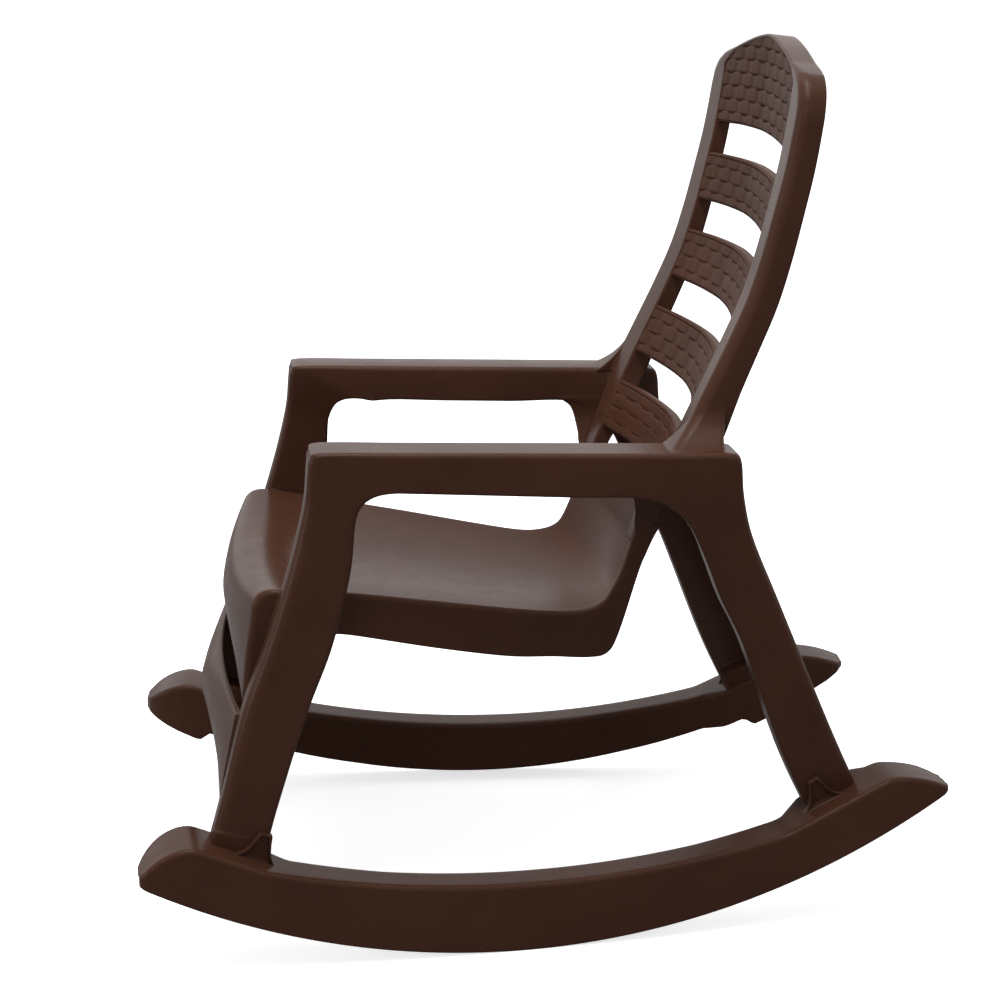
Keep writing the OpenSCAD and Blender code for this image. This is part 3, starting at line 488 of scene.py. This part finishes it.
# Basket weave: rows of raised pillows with arched tops, over a lower strip with a groove under each row.
# The pillow's reaches are shares of the row's height and the levels are shares of the relief
WEAVE_ROW, WEAVE_PITCH, WEAVE_RISE, WEAVE_STEPS = 16.4, 51.0, 3.4, 168
PILLOW_HALF_W, PILLOW_UP, PILLOW_DOWN = 20.5, 0.58, 0.43
GROOVE_LEVEL, STRIP_RISE, PILLOW_LEVEL = 0.08, 0.70, 0.6
WEAVE_GROUND = 0.9
SLAT_FIRST_ROW, PANEL_FIRST_ROW = 6.3, 4.4
LIP_H, LIP_RISE, LIP_SPAN = 5.2, 3.4, 5.6
BORDER_H, BORDER_RISE, BORDER_SPAN = 2.6, 2.0, 3.0


def weave(x, v):
    """Height of the woven relief at x, v above the foot of its first row."""
    row = math.floor(v / WEAVE_ROW)
    f = v / WEAVE_ROW - row
    best = GROOVE_LEVEL + STRIP_RISE * (1 - abs(2 * f - 1) ** 6) ** 0.5
    for k in (row - 1, row):
        u = x / WEAVE_PITCH + 0.5 * (k % 2)
        dx = (u - round(u)) * WEAVE_PITCH
        dv = v - (k + 0.5) * WEAVE_ROW
        reach, power = (PILLOW_UP, 2.4) if dv > 0 else (PILLOW_DOWN, 8)
        s = abs(dx / PILLOW_HALF_W) ** 4 + abs(dv / WEAVE_ROW / reach) ** power
        if s < 1:
            best = max(best, PILLOW_LEVEL + (1 - PILLOW_LEVEL) * (1 - s) ** 0.4)
    return WEAVE_RISE * best


def slat_arch(x):
    """Rise of a slat's arch at x."""
    return SLAT_ARCH * (1 - (x / SLAT_END) ** 2)


def border_rise(v):
    """Height of the plain border, v above the lower edge."""
    return BORDER_RISE * math.sin(math.pi * clamp(v / BORDER_SPAN)) ** 0.5


def lower_flange(z):
    """Flange along a lower edge at height z: (height, depth)."""
    t = BACK_WALL
    return [(z, 1.5), (z, SLAT_FLANGE), (z + t, SLAT_FLANGE), (z + t, t)]


def slat_ring(x, z0, z1, steps=76):
    """Section of a woven slat at x: lip along the top, rows of pillows, border and flange below."""
    t = BACK_WALL
    pts = []
    for k in range(steps + 1):
        z = mix(z1 - 0.4, z0 + 0.4, k / steps)
        if z > z1 - LIP_H:
            h = LIP_RISE * math.sin(math.pi * clamp((z1 - z) / LIP_SPAN)) ** 0.45
        elif z < z0 + BORDER_H:
            h = border_rise(z - z0)
        else:
            h = weave(x, z - z0 + SLAT_FIRST_ROW)
        pts.append((z, WEAVE_GROUND - h))
    pts += lower_flange(z0)
    pts += [(z1 - t, t), (z1 - t, SLAT_FLANGE), (z1, SLAT_FLANGE), (z1, 1.5)]
    return [back_point(x, z + slat_arch(x), SLAT_RECESS + d) for z, d in pts]


def panel_ring(x, steps=140):
    """Section of the woven top panel at x."""
    low = TOP_PANEL_Z + slat_arch(x)
    high = (crown_z(x) if abs(x) < CROWN_X else SHOULDER_Z + 1) - PANEL_SINK
    pts = []
    for k in range(steps + 1):
        z = mix(high, low + 0.4, k / steps)
        v = z - low
        h = border_rise(v) if v < BORDER_H else weave(x, v + PANEL_FIRST_ROW)
        pts.append((z, WEAVE_GROUND - h))
    pts += lower_flange(low) + [(high, BACK_WALL)]
    return [back_point(x, z, SLAT_RECESS + d) for z, d in pts]


def brace_ring(x, half):
    """Section of the front brace at x."""
    u = min(1.0, abs(x / half))
    y = BRACE_END_Y - BRACE_BOW * (1 - u * u)
    z = BRACE_Z - BRACE_H - BRACE_DROP * u ** 1.8
    f = BRACE_END_Y - BRACE_FOOT - BRACE_FOOT_BOW * (1 - u) ** 2
    belly = BRACE_BELLY * (1 - u * u)
    w, r = SHELL_WALL, 1.4

    def face(k, back=0.0):
        return (mix(y, f, k) - belly * 4 * k * (1 - k) + back, mix(BRACE_Z, z, k))

    pts = [(y + w + 3, BRACE_Z), (y + r, BRACE_Z), (y + 0.4, BRACE_Z - 0.4), (y - 0.1, BRACE_Z - r)]
    pts += [face(k / 10) for k in range(1, 10)]
    pts += [(f, z + r), (f + 0.4, z + 0.4), (f + r, z), (f + w - r, z), (f + w, z + r)]
    pts += [face(k / 10, w) for k in range(9, 0, -1)]
    pts += [(y + w, BRACE_Z - w), (y + w + 3, BRACE_Z - w)]
    return [(x, p, q) for p, q in pts]


def runner_ring(y):
    """Section of a runner at y along it, in its own frame."""
    top, low = soft_top_z(y), bottom_z(y)
    x0, x1 = -runner_face(y), -runner_width(y)
    t = RUNNER_WALL
    step = SIDE_STEP * clamp((y - FRONT_FOOT_Y + 40) / 14) * clamp((REAR_FOOT_Y + 10 - y) / 14)
    low_in = min(low + step, top - 3)
    h = top - low
    r0, r1 = min(5.5, h * 0.45), min(5.0, h * 0.45, (top - low_in) * 0.8)
    end = clamp(min(y - TOE_Y, TAIL_Y - y) / 60)
    crown = 1.6 * (1 - end)
    out = [(x0, low)] + arc(x0 - r0, top - r0, r0, 0, 90, 5)
    for k in range(1, 6):
        out.append((mix(x0 - r0, x1 + r1, k / 6), top + crown * math.sin(math.pi * k / 6) - crown))
    out += arc(x1 + r1, top - r1, r1, 90, 180, 5) + [(x1, low_in)]
    roof = max(top - t, low + 0.6)
    inner = [(x1 + t, min(low_in, roof - 0.1)), (x1 + t, roof), (x0 - t, roof), (x0 - t, low)]
    return [(x, y, z) for x, z in out + inner]


def lug_outline(rim, steps=5):
    """Outline of a lug with flared feet: (place along the runner, height)."""
    half, top = LUG_L / 2, LUG_TOP_L / 2
    side = [(half - rim, 0.0), (half * 0.66 - rim, LUG_H * 0.22), (half * 0.44 - rim, LUG_H * 0.6),
            (top - rim, LUG_H - rim - 1.0), (top - rim - 1.5, LUG_H - rim)]
    curve = smooth_path(side, steps)
    base = -8.0 if rim == 0 else 1.5
    right = [(half - rim, base)] + [(a, max(b, base)) for a, b in curve]
    return right + [(-a, b) for a, b in right[::-1]]


# Making and finishing of meshes

def new_piece(name, points, faces):
    """A mesh object with its place in its mesh, from points in millimetres."""
    mesh = bpy.data.meshes.new(name)
    mesh.from_pydata([tuple(c * MM for c in p) for p in points], [], faces)
    mesh.update()
    piece = bpy.data.objects.new(name, mesh)
    bpy.context.scene.collection.objects.link(piece)
    return piece


def select_only(*pieces):
    """Selects these objects alone, the first one active."""
    bpy.ops.object.select_all(action="DESELECT")
    for piece in pieces:
        piece.select_set(True)
    bpy.context.view_layer.objects.active = pieces[0]


def loft(name, rings):
    """Closed skin through rings of equal length."""
    n, m = len(rings[0]), len(rings)
    points = [tuple(p) for ring in rings for p in ring]
    faces = []
    for i in range(m - 1):
        for j in range(n):
            a, b = i * n + j, i * n + (j + 1) % n
            faces.append((a, b, b + n, a + n))
    faces.append(tuple(range(n))[::-1])
    faces.append(tuple((m - 1) * n + j for j in range(n)))
    piece = new_piece(name, points, faces)
    select_only(piece)
    bpy.ops.object.mode_set(mode="EDIT")
    bpy.ops.mesh.select_all(action="SELECT")
    bpy.ops.mesh.normals_make_consistent(inside=False)
    bpy.ops.object.mode_set(mode="OBJECT")
    return piece


def mirrored(piece, name):
    """A mirror image of a piece with its own mesh."""
    copy = piece.copy()
    copy.data = piece.data.copy()
    copy.name = copy.data.name = name
    bpy.context.scene.collection.objects.link(copy)
    copy.data.transform(Matrix.Scale(-1, 4, (1, 0, 0)))
    copy.data.flip_normals()
    return copy


def join(name, pieces):
    """One object of several."""
    select_only(*pieces)
    bpy.ops.object.join()
    pieces[0].name = pieces[0].data.name = name
    return pieces[0]


def smooth(piece, angle):
    """Smooth shading with crisp edges, weighted to the large faces."""
    select_only(piece)
    bpy.ops.object.shade_smooth_by_angle(angle=math.radians(angle), keep_sharp_edges=False)
    mod = piece.modifiers.new("Weighted normals", "WEIGHTED_NORMAL")
    mod.keep_sharp = True
    mod.weight = 60
    bpy.ops.object.modifier_apply(modifier=mod.name)


def paint(piece, material):
    """Gives a piece its material."""
    piece.data.materials.clear()
    piece.data.materials.append(material)


# Scale and detail of the plastic's mottling, uneven gloss and grain, and of the zinc's spangle
MOTTLING, UNEVEN_GLOSS, GRAIN, SPANGLE = (9.0, 5.0), (28.0, 3.0), (1500.0, 2.0), (600.0, 2.0)


def new_material(name):
    """A material, with its nodes, links and shader."""
    material = bpy.data.materials.new(name)
    material.use_nodes = True
    nodes, links = material.node_tree.nodes, material.node_tree.links
    return material, nodes, links, nodes["Principled BSDF"]


def noise(nodes, links, coords, scale, detail):
    """Noise in the object's own space."""
    texture = nodes.new("ShaderNodeTexNoise")
    texture.inputs["Scale"].default_value = scale
    texture.inputs["Detail"].default_value = detail
    links.new(coords.outputs["Object"], texture.inputs["Vector"])
    return texture.outputs["Fac"]


def tones(nodes, links, value, low, high):
    """Colour between two tones, each with the value that it starts from."""
    ramp = nodes.new("ShaderNodeValToRGB")
    for stop, (place, colour) in zip(ramp.color_ramp.elements, (low, high)):
        stop.position = place
        stop.color = [*colour, 1]
    links.new(value, ramp.inputs["Fac"])
    return ramp.outputs["Color"]


def plastic(name, colour, roughness, fillet, gloss):
    """Moulded plastic: fine grain, slight mottling, and corners eased by the mould."""
    material, nodes, links, shader = new_material(name)
    coords = nodes.new("ShaderNodeTexCoord")
    cloud = noise(nodes, links, coords, *MOTTLING)
    flow = noise(nodes, links, coords, *UNEVEN_GLOSS)
    grain = noise(nodes, links, coords, *GRAIN)
    dark, pale = [c * 0.88 for c in colour], [c * 1.12 for c in colour]
    links.new(tones(nodes, links, cloud, (0.3, dark), (0.72, pale)), shader.inputs["Base Color"])
    spread = nodes.new("ShaderNodeMapRange")
    spread.inputs["To Min"].default_value = roughness - 0.05
    spread.inputs["To Max"].default_value = roughness + 0.07
    links.new(flow, spread.inputs["Value"])
    links.new(spread.outputs["Result"], shader.inputs["Roughness"])
    bump = nodes.new("ShaderNodeBump")
    bump.inputs["Strength"].default_value = 0.12
    bump.inputs["Distance"].default_value = 0.0003
    links.new(grain, bump.inputs["Height"])
    if fillet > 0:
        ease = nodes.new("ShaderNodeBevel")
        ease.samples = 6
        ease.inputs["Radius"].default_value = fillet
        links.new(ease.outputs["Normal"], bump.inputs["Normal"])
    links.new(bump.outputs["Normal"], shader.inputs["Normal"])
    shader.inputs["IOR"].default_value = 1.47
    shader.inputs["Specular IOR Level"].default_value = gloss
    return material


def plated_steel(name):
    """Zinc plated steel with faint spangle."""
    material, nodes, links, shader = new_material(name)
    spangle = noise(nodes, links, nodes.new("ShaderNodeTexCoord"), *SPANGLE)
    dark, pale = (0.5, 0.5, 0.49), (0.72, 0.72, 0.7)
    links.new(tones(nodes, links, spangle, (0.0, dark), (1.0, pale)), shader.inputs["Base Color"])
    shader.inputs["Metallic"].default_value = 1.0
    shader.inputs["Roughness"].default_value = 0.34
    return material


class ChairColours(PropertyGroup):
    """Colour, sheen and gloss of the chair."""

    plastic: FloatVectorProperty(
        name="Plastic", description="Colour of the moulded plastic", subtype="COLOR", size=3, min=0, max=1,
        default=(0.060, 0.0245, 0.0145))
    sheen: FloatProperty(
        name="Roughness", description="Roughness of the satin surface", subtype="FACTOR", min=0.1, max=0.9,
        default=0.27)
    gloss: FloatProperty(
        name="Gloss", description="Strength of the plastic's reflections", subtype="FACTOR", min=0, max=1,
        default=0.09)
    weave_gloss: FloatProperty(
        name="Weave gloss", description="Strength of the woven panels' reflections", subtype="FACTOR", min=0,
        max=1, default=0.025)


class ChairSizes(PropertyGroup):
    """Sizes that a user may change."""

    fillet: FloatProperty(
        name="Fillet", description="Radius of the eased corners where forms meet", unit="LENGTH", min=0,
        max=0.01, default=0.004)
    floor: FloatProperty(
        name="Floor", description="Half the width of the studio floor", unit="LENGTH", min=3, max=40,
        default=14.0)


# What the weave's roughness has over that of the smooth surfaces
WEAVE_ROUGHER = 0.12


def body_plastic():
    """The satin plastic of smooth surfaces."""
    name = "moulded_plastic"
    if name not in bpy.data.materials:
        look = bpy.context.scene.chair_colours
        plastic(name, list(look.plastic), look.sheen, bpy.context.scene.chair_sizes.fillet, look.gloss)
    return bpy.data.materials[name]


def weave_plastic():
    """The rougher plastic of the woven relief."""
    name = "woven_plastic"
    if name not in bpy.data.materials:
        look = bpy.context.scene.chair_colours
        plastic(name, list(look.plastic), look.sheen + WEAVE_ROUGHER, 0.0, look.weave_gloss)
    return bpy.data.materials[name]


# Parts that are made so far, for the operator that joins them
SHELL_PARTS = []
WOVEN_PARTS = []


def add_to_shell(piece, angle, twin=None):
    """Finishes a part of the moulding, and its mirror image where it has one."""
    smooth(piece, angle)
    paint(piece, body_plastic())
    SHELL_PARTS.append(piece)
    if twin:
        SHELL_PARTS.append(mirrored(piece, twin))


def add_woven(name, section):
    """Makes and finishes a woven strip from its section at each x between the stiles."""
    xs = [SLAT_END * (1 - 2 * k / WEAVE_STEPS) for k in range(WEAVE_STEPS + 1)]
    piece = loft(name, [section(x) for x in xs])
    smooth(piece, 60)
    paint(piece, weave_plastic())
    WOVEN_PARTS.append(piece)


class CHAIR_OT_side_frames(Operator):
    """Front leg, arm and rear leg on each side"""

    bl_idname = "chair.side_frames"
    bl_label = "Legs and arms"

    def execute(self, context):
        rings = []
        for y0, z0, y1, z1, d1, d2, drop, r1, r2 in smooth_path(side_rows(), 6):
            w = math.hypot(y1 - y0, z1 - z0)
            ey, ez = (y1 - y0) / w, (z1 - z0) / w
            x = side_x((y0 + y1) / 2, (z0 + z1) / 2)
            section = channel(w, d1, d2, clamp(drop, SHELL_WALL + 1.2, w - 0.5), r1, r2)
            rings.append([(x - q, y0 + ey * p, z0 + ez * p) for p, q in section])
        add_to_shell(loft("side_frame_right", rings), 42, "side_frame_left")
        return {"FINISHED"}


class CHAIR_OT_seat(Operator):
    """Dished seat with rolled edges and the lower back"""

    bl_idname = "chair.seat"
    bl_label = "Seat"

    def execute(self, context):
        path = smooth_path(seat_rows(), 6)
        add_to_shell(loft("seat", [seat_ring(path, i) for i in range(len(path))]), 40)
        last = path[-1]
        outline = ((0.4, 0.2), (1.6, 1.0), (4, 0.6), (16, -3.6), (16, -7.4), (4, -3.6))
        flange = []
        for k in range(2 * SHELF_STEPS + 1):
            q = sheet_point(last, (last[0] - 2) * (1 - k / SHELF_STEPS))
            flange.append([q + Vector((0, dy, dz)) for dy, dz in outline])
        add_to_shell(loft("lower_back_edge", flange), 40)
        return {"FINISHED"}


class CHAIR_OT_back_frame(Operator):
    """Stiles, shoulders and crown of the back"""

    bl_idname = "chair.back_frame"
    bl_label = "Back frame"

    def execute(self, context):
        add_to_shell(loft("back_frame", [back_ring(r) for r in back_rows()]), 42)
        return {"FINISHED"}


class CHAIR_OT_slats(Operator):
    """Bowed slats with a basket weave"""

    bl_idname = "chair.slats"
    bl_label = "Slats"

    def execute(self, context):
        for k in range(1, SLAT_COUNT + 1):
            z = TOP_PANEL_Z - k * (SLAT_GAP + SLAT_H)
            add_woven("slat_%d" % k, lambda x: slat_ring(x, z, z + SLAT_H))
        return {"FINISHED"}


class CHAIR_OT_top_panel(Operator):
    """Woven panel under the crown"""

    bl_idname = "chair.top_panel"
    bl_label = "Top panel"

    def execute(self, context):
        add_woven("top_panel", panel_ring)
        return {"FINISHED"}


class CHAIR_OT_front_brace(Operator):
    """Bowed brace between the front legs"""

    bl_idname = "chair.front_brace"
    bl_label = "Front brace"

    def execute(self, context):
        half = ARM_X - FRONT_LEG_T + 8
        xs = [half * (1 - k / BRACE_STEPS) for k in range(2 * BRACE_STEPS + 1)]
        add_to_shell(loft("front_brace", [brace_ring(x, half) for x in xs]), 40)
        return {"FINISHED"}


class CHAIR_OT_post_flares(Operator):
    """Concave flares where the stiles run into the arms"""

    bl_idname = "chair.post_flares"
    bl_label = "Post flares"

    def execute(self, context):
        base = arm_top_z(150) - FLARE_SINK
        rings = []
        for k in range(FLARE_STEPS + 1):
            t = k / FLARE_STEPS
            z = base + (FLARE_H + FLARE_SINK) * t
            spread = (1 - t) ** 2.6
            face = at_place(BACK_LINE, z)
            depth = at_place(WALL_LINE, z) * math.cos(back_lean(z))
            x0, x1 = BACK_HALF_W - 14, BACK_HALF_W - 0.6 + FLARE_SPREAD * spread
            y0 = face + 2.5 - FLARE_FORWARD * spread
            y1 = min(ARM_REAR_Y - 4, face + depth - 1 + FLARE_BACK * spread)
            r = 12 - 2 * spread
            plan = [(x0, y1), (x0, y0 + 1)]
            plan += arc(x1 - r, y0 + r, r, 270, 360, 6) + arc(x1 - 5, y1 - 5, 5, 0, 90, 4)
            rings.append([(p, q, z) for p, q in plan])
        add_to_shell(loft("post_flare_right", rings), 50, "post_flare_left")
        return {"FINISHED"}


class CHAIR_OT_arm_webs(Operator):
    """Webs that round the rear corners of the openings under the arms"""

    bl_idname = "chair.arm_webs"
    bl_label = "Arm webs"

    def execute(self, context):
        # Height from the arm's top, y of the front edge, and outward step of the web
        knots = [
            [-50, 76, 0.8], [-60, 92, -0.6], [-70, 98, -2], [-82, 101, -5], [-96, 103.5, -11],
            [-110, 104, -18], [-128, 108, -34],
        ]
        rings = []
        for height, y0, step in smooth_path(knots, 4):
            z, x0 = ARM_Z + height, ARM_X - ARM_W + step
            x1, y1 = x0 + SHELL_WALL, at_place(BACK_LINE, z) + 20
            plan = arc(x0 + 2, y0 + 2, 2, 270, 180, 4) + [(x0, y1), (x1, y1)]
            plan += arc(x1 - 2, y0 + 2, 2, 360, 270, 4)[:-1]
            rings.append([(p, q, z) for p, q in plan])
        add_to_shell(loft("arm_web_right", rings), 50, "arm_web_left")
        return {"FINISHED"}


class CHAIR_OT_arm_ribs(Operator):
    """Cross ribs in the hollow underside of the arms, and the feet in their sockets"""

    bl_idname = "chair.arm_ribs"
    bl_label = "Arm ribs and feet"

    def execute(self, context):
        made = []
        for k in range(RIB_COUNT):
            y = mix(ARM_FRONT_Y + 95, ARM_REAR_Y - 110, k / (RIB_COUNT - 1))
            top = arm_top_z(y) - SHELL_WALL / 2
            x0, x1 = ARM_X - ARM_W + 2, ARM_X - 2
            curve = [(mix(x0, x1, i / 8), top - 14 - (ARM_DEPTH - 24) * (i / 8) ** 2) for i in range(9)]
            ring = [(x0, top)] + curve + [(x1, top)]
            sides = (y - RIB_T / 2, y + RIB_T / 2)
            made.append(loft("arm_rib", [[(p, side, q) for p, q in ring] for side in sides]))
        for y, lean in FEET:
            rings = []
            for up, inset in ((-FOOT_DEPTH, 2.0), (-FOOT_DEPTH + 2, 0.0), (20, 0.0)):
                rings.append(foot_ring(y, lean, up, FOOT_W / 2 - inset, FOOT_L / 2 - inset, 6.0, 4))
            made.append(loft("foot", rings))
        add_to_shell(join("arm_ribs_right", made), 40, "arm_ribs_left")
        return {"FINISHED"}


class CHAIR_OT_moulding(Operator):
    """Joins the shell into the one moulding that it is"""

    bl_idname = "chair.moulding"
    bl_label = "One moulding"

    def execute(self, context):
        for piece in (join("moulded_shell", SHELL_PARTS), join("woven_panels", WOVEN_PARTS)):
            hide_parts("chair_shell")
            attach(piece, "root")
        SHELL_PARTS.clear()
        WOVEN_PARTS.clear()
        return {"FINISHED"}


class CHAIR_OT_runners(Operator):
    """The two hollow runners with their sockets and lugs"""

    bl_idname = "chair.runners"
    bl_label = "Runners"

    def execute(self, context):
        turn = [END_ROUND * (1 - math.cos(math.pi / 2 * k / END_STEPS)) for k in range(END_STEPS + 1)]
        stations = {TOE_Y + step for step in turn} | {TAIL_Y - step for step in turn}
        stations |= {mix(TOE_Y + 12, TAIL_Y - 12, k / RUNNER_STEPS) for k in range(RUNNER_STEPS + 1)}
        rings = [[runner_point(*p) for p in runner_ring(y)] for y in sorted(stations)]
        parts = [loft("runner_channel", rings)]
        w, l = FOOT_W / 2 + RUNNER_WALL, FOOT_L / 2 + RUNNER_WALL
        for y, lean in FEET:
            ends = (-FOOT_DEPTH - FOOT_GAP - RUNNER_WALL, -6.0)
            parts.append(loft("socket", [foot_ring(y, lean, up, w, l, 3.0, 3) for up in ends]))
        for y in LUG_PLACES:
            parts.append(self.lug(y))
        right = join("runner_right_dressed", parts)
        smooth(right, 40)
        paint(right, body_plastic())
        left = mirrored(right, "runner_left_dressed")
        for piece, node in ((right, "runner_right"), (left, "runner_left")):
            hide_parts(node)
            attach(piece, "root")
        return {"FINISHED"}

    def lug(self, y):
        """Lug with a raised rim round a recess."""
        slope = math.atan((top_z(y + 4) - top_z(y - 4)) / 8)
        outer, inner = lug_outline(0), lug_outline(LUG_RIM)
        rim_out, rim_in = (
            [tuple(mix(a, b, t) for a, b in zip(p, q)) for p, q in zip(outer, inner)] for t in (0.2, 0.8)
        )
        rings = []
        for outline, x in ((outer, 0.0), (outer, LUG_T - 1.0), (rim_out, LUG_T), (rim_in, LUG_T),
                           (inner, LUG_T - 1.0), (inner, LUG_T - 5.0)):
            rings.append([
                runner_point(-FOOT_LEDGE + FOOT_GAP + x, y + p * math.cos(slope) - q * math.sin(slope),
                             top_z(y) + p * math.sin(slope) + q * math.cos(slope))
                for p, q in outline
            ])
        return loft("lug", rings)


class CHAIR_OT_screws(Operator):
    """Plated finish of the foot screws"""

    bl_idname = "chair.screws"
    bl_label = "Screws"

    def execute(self, context):
        steel = plated_steel("zinc_plated_steel")
        for name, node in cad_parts.items():
            if name.startswith("foot_screw"):
                paint(node, steel)
        return {"FINISHED"}


class CHAIR_OT_stage(Operator):
    """White floor, soft studio light and the camera"""

    bl_idname = "chair.stage"
    bl_label = "Stage"

    def execute(self, context):
        self.floor(2 * context.scene.chair_sizes.floor)
        for lamp in LAMPS:
            self.light(*lamp)
        world = bpy.data.worlds.new("studio_world")
        context.scene.world = world
        world.use_nodes = True
        nodes, links = world.node_tree.nodes, world.node_tree.links
        back = nodes["Background"]
        back.inputs["Color"].default_value = (1, 1, 1, 1)
        links.new(self.shown(nodes, links, *WORLD_LEVEL), back.inputs["Strength"])
        self.camera(context)
        return {"FINISHED"}

    def floor(self, size):
        """A floor that is white to the camera and keeps the chair's shadow."""
        bpy.ops.mesh.primitive_plane_add(size=size, location=(0, 0, -FLOOR_DROP))
        floor = bpy.context.active_object
        floor.name = "studio_floor"
        bpy.ops.object.transform_apply(location=True)
        material, nodes, links, shader = new_material("studio_white")
        links.new(self.shown(nodes, links, *FLOOR_TONE), shader.inputs["Base Color"])
        shader.inputs["Roughness"].default_value = 0.9
        shader.inputs["Specular IOR Level"].default_value = 0.0
        coords = nodes.new("ShaderNodeTexCoord")
        far = nodes.new("ShaderNodeVectorMath")
        far.operation = "LENGTH"
        links.new(coords.outputs["Object"], far.inputs[0])
        rise = nodes.new("ShaderNodeMapRange")
        rise.inputs["From Min"].default_value = GLOW_START
        rise.inputs["From Max"].default_value = GLOW_END
        rise.inputs["To Min"].default_value = GLOW_LOW
        links.new(far.outputs["Value"], rise.inputs["Value"])
        level = nodes.new("ShaderNodeMath")
        level.operation = "MULTIPLY"
        links.new(rise.outputs["Result"], level.inputs[0])
        links.new(self.shown(nodes, links, *FLOOR_GLOW), level.inputs[1])
        glow = nodes.new("ShaderNodeEmission")
        links.new(level.outputs["Value"], glow.inputs["Strength"])
        add = nodes.new("ShaderNodeAddShader")
        links.new(shader.outputs["BSDF"], add.inputs[0])
        links.new(glow.outputs["Emission"], add.inputs[1])
        links.new(add.outputs["Shader"], nodes["Material Output"].inputs["Surface"])
        paint(floor, material)

    def shown(self, nodes, links, plain, white, mirrored):
        """One level for plain light, one where the backdrop is seen and one where it is reflected."""
        path = nodes.new("ShaderNodeLightPath")
        both = nodes.new("ShaderNodeMath")
        both.operation = "MAXIMUM"
        links.new(path.outputs["Is Glossy Ray"], both.inputs[0])
        links.new(path.outputs["Is Transmission Ray"], both.inputs[1])
        first = nodes.new("ShaderNodeMapRange")
        first.inputs["To Min"].default_value = plain
        first.inputs["To Max"].default_value = mirrored
        links.new(both.outputs["Value"], first.inputs["Value"])
        level = nodes.new("ShaderNodeMapRange")
        level.inputs["To Max"].default_value = white
        links.new(first.outputs["Result"], level.inputs["To Min"])
        links.new(path.outputs["Is Camera Ray"], level.inputs["Value"])
        return level.outputs["Result"]

    def light(self, name, place, aim, width, height, power):
        """A soft rectangular lamp."""
        data = bpy.data.lights.new(name, "AREA")
        data.shape = "RECTANGLE"
        data.size, data.size_y = width, height
        data.energy = power
        lamp = bpy.data.objects.new(name, data)
        bpy.context.scene.collection.objects.link(lamp)
        lamp.location = place
        lamp.rotation_euler = (Vector(aim) - Vector(place)).to_track_quat("-Z", "Y").to_euler()

    def camera(self, context):
        """The view of the photograph."""
        data = bpy.data.cameras.new("camera")
        data.lens = CAMERA_LENS
        data.sensor_width = CAMERA_SENSOR
        camera = bpy.data.objects.new("camera", data)
        context.scene.collection.objects.link(camera)
        turn, tilt, roll = (math.radians(a) for a in (CAMERA_TURN, CAMERA_TILT, CAMERA_ROLL))
        back = Vector((math.cos(turn) * math.cos(tilt), -math.sin(turn) * math.cos(tilt), math.sin(tilt)))
        place = Matrix.Translation(Vector(CAMERA_TARGET) + back * CAMERA_DISTANCE)
        aim = back.to_track_quat("Z", "Y").to_matrix().to_4x4()
        camera.matrix_world = place @ aim @ Matrix.Rotation(roll, 4, "Z")
        context.scene.camera = camera


class CHAIR_PT_panel(Panel):
    """Buttons that build the chair"""

    bl_idname = "CHAIR_PT_panel"
    bl_label = "Rocking chair"
    bl_space_type = "VIEW_3D"
    bl_region_type = "UI"
    bl_category = "Chair"

    def draw(self, context):
        layout = self.layout
        for name in ("plastic", "sheen", "gloss", "weave_gloss"):
            layout.prop(context.scene.chair_colours, name)
        for name in ("fillet", "floor"):
            layout.prop(context.scene.chair_sizes, name)
        for step in STEPS:
            layout.operator(step.bl_idname)


STEPS = (
    CHAIR_OT_side_frames, CHAIR_OT_seat, CHAIR_OT_back_frame, CHAIR_OT_slats, CHAIR_OT_top_panel,
    CHAIR_OT_front_brace, CHAIR_OT_post_flares, CHAIR_OT_arm_webs, CHAIR_OT_arm_ribs, CHAIR_OT_moulding,
    CHAIR_OT_runners, CHAIR_OT_screws, CHAIR_OT_stage,
)
CLASSES = (ChairColours, ChairSizes) + STEPS + (CHAIR_PT_panel,)


def register():
    """Makes the classes and settings known to Blender."""
    for item in CLASSES:
        bpy.utils.register_class(item)
    bpy.types.Scene.chair_colours = PointerProperty(type=ChairColours)
    bpy.types.Scene.chair_sizes = PointerProperty(type=ChairSizes)


def unregister():
    """Takes the classes and settings out again."""
    del bpy.types.Scene.chair_sizes
    del bpy.types.Scene.chair_colours
    for item in reversed(CLASSES):
        bpy.utils.unregister_class(item)


def main():
    """Builds the whole scene."""
    register()
    for step in STEPS:
        group, name = step.bl_idname.split(".")
        getattr(getattr(bpy.ops, group), name)()
    bpy.context.scene.view_settings.view_transform = "Standard"


if __name__ == "__main__":
    main()
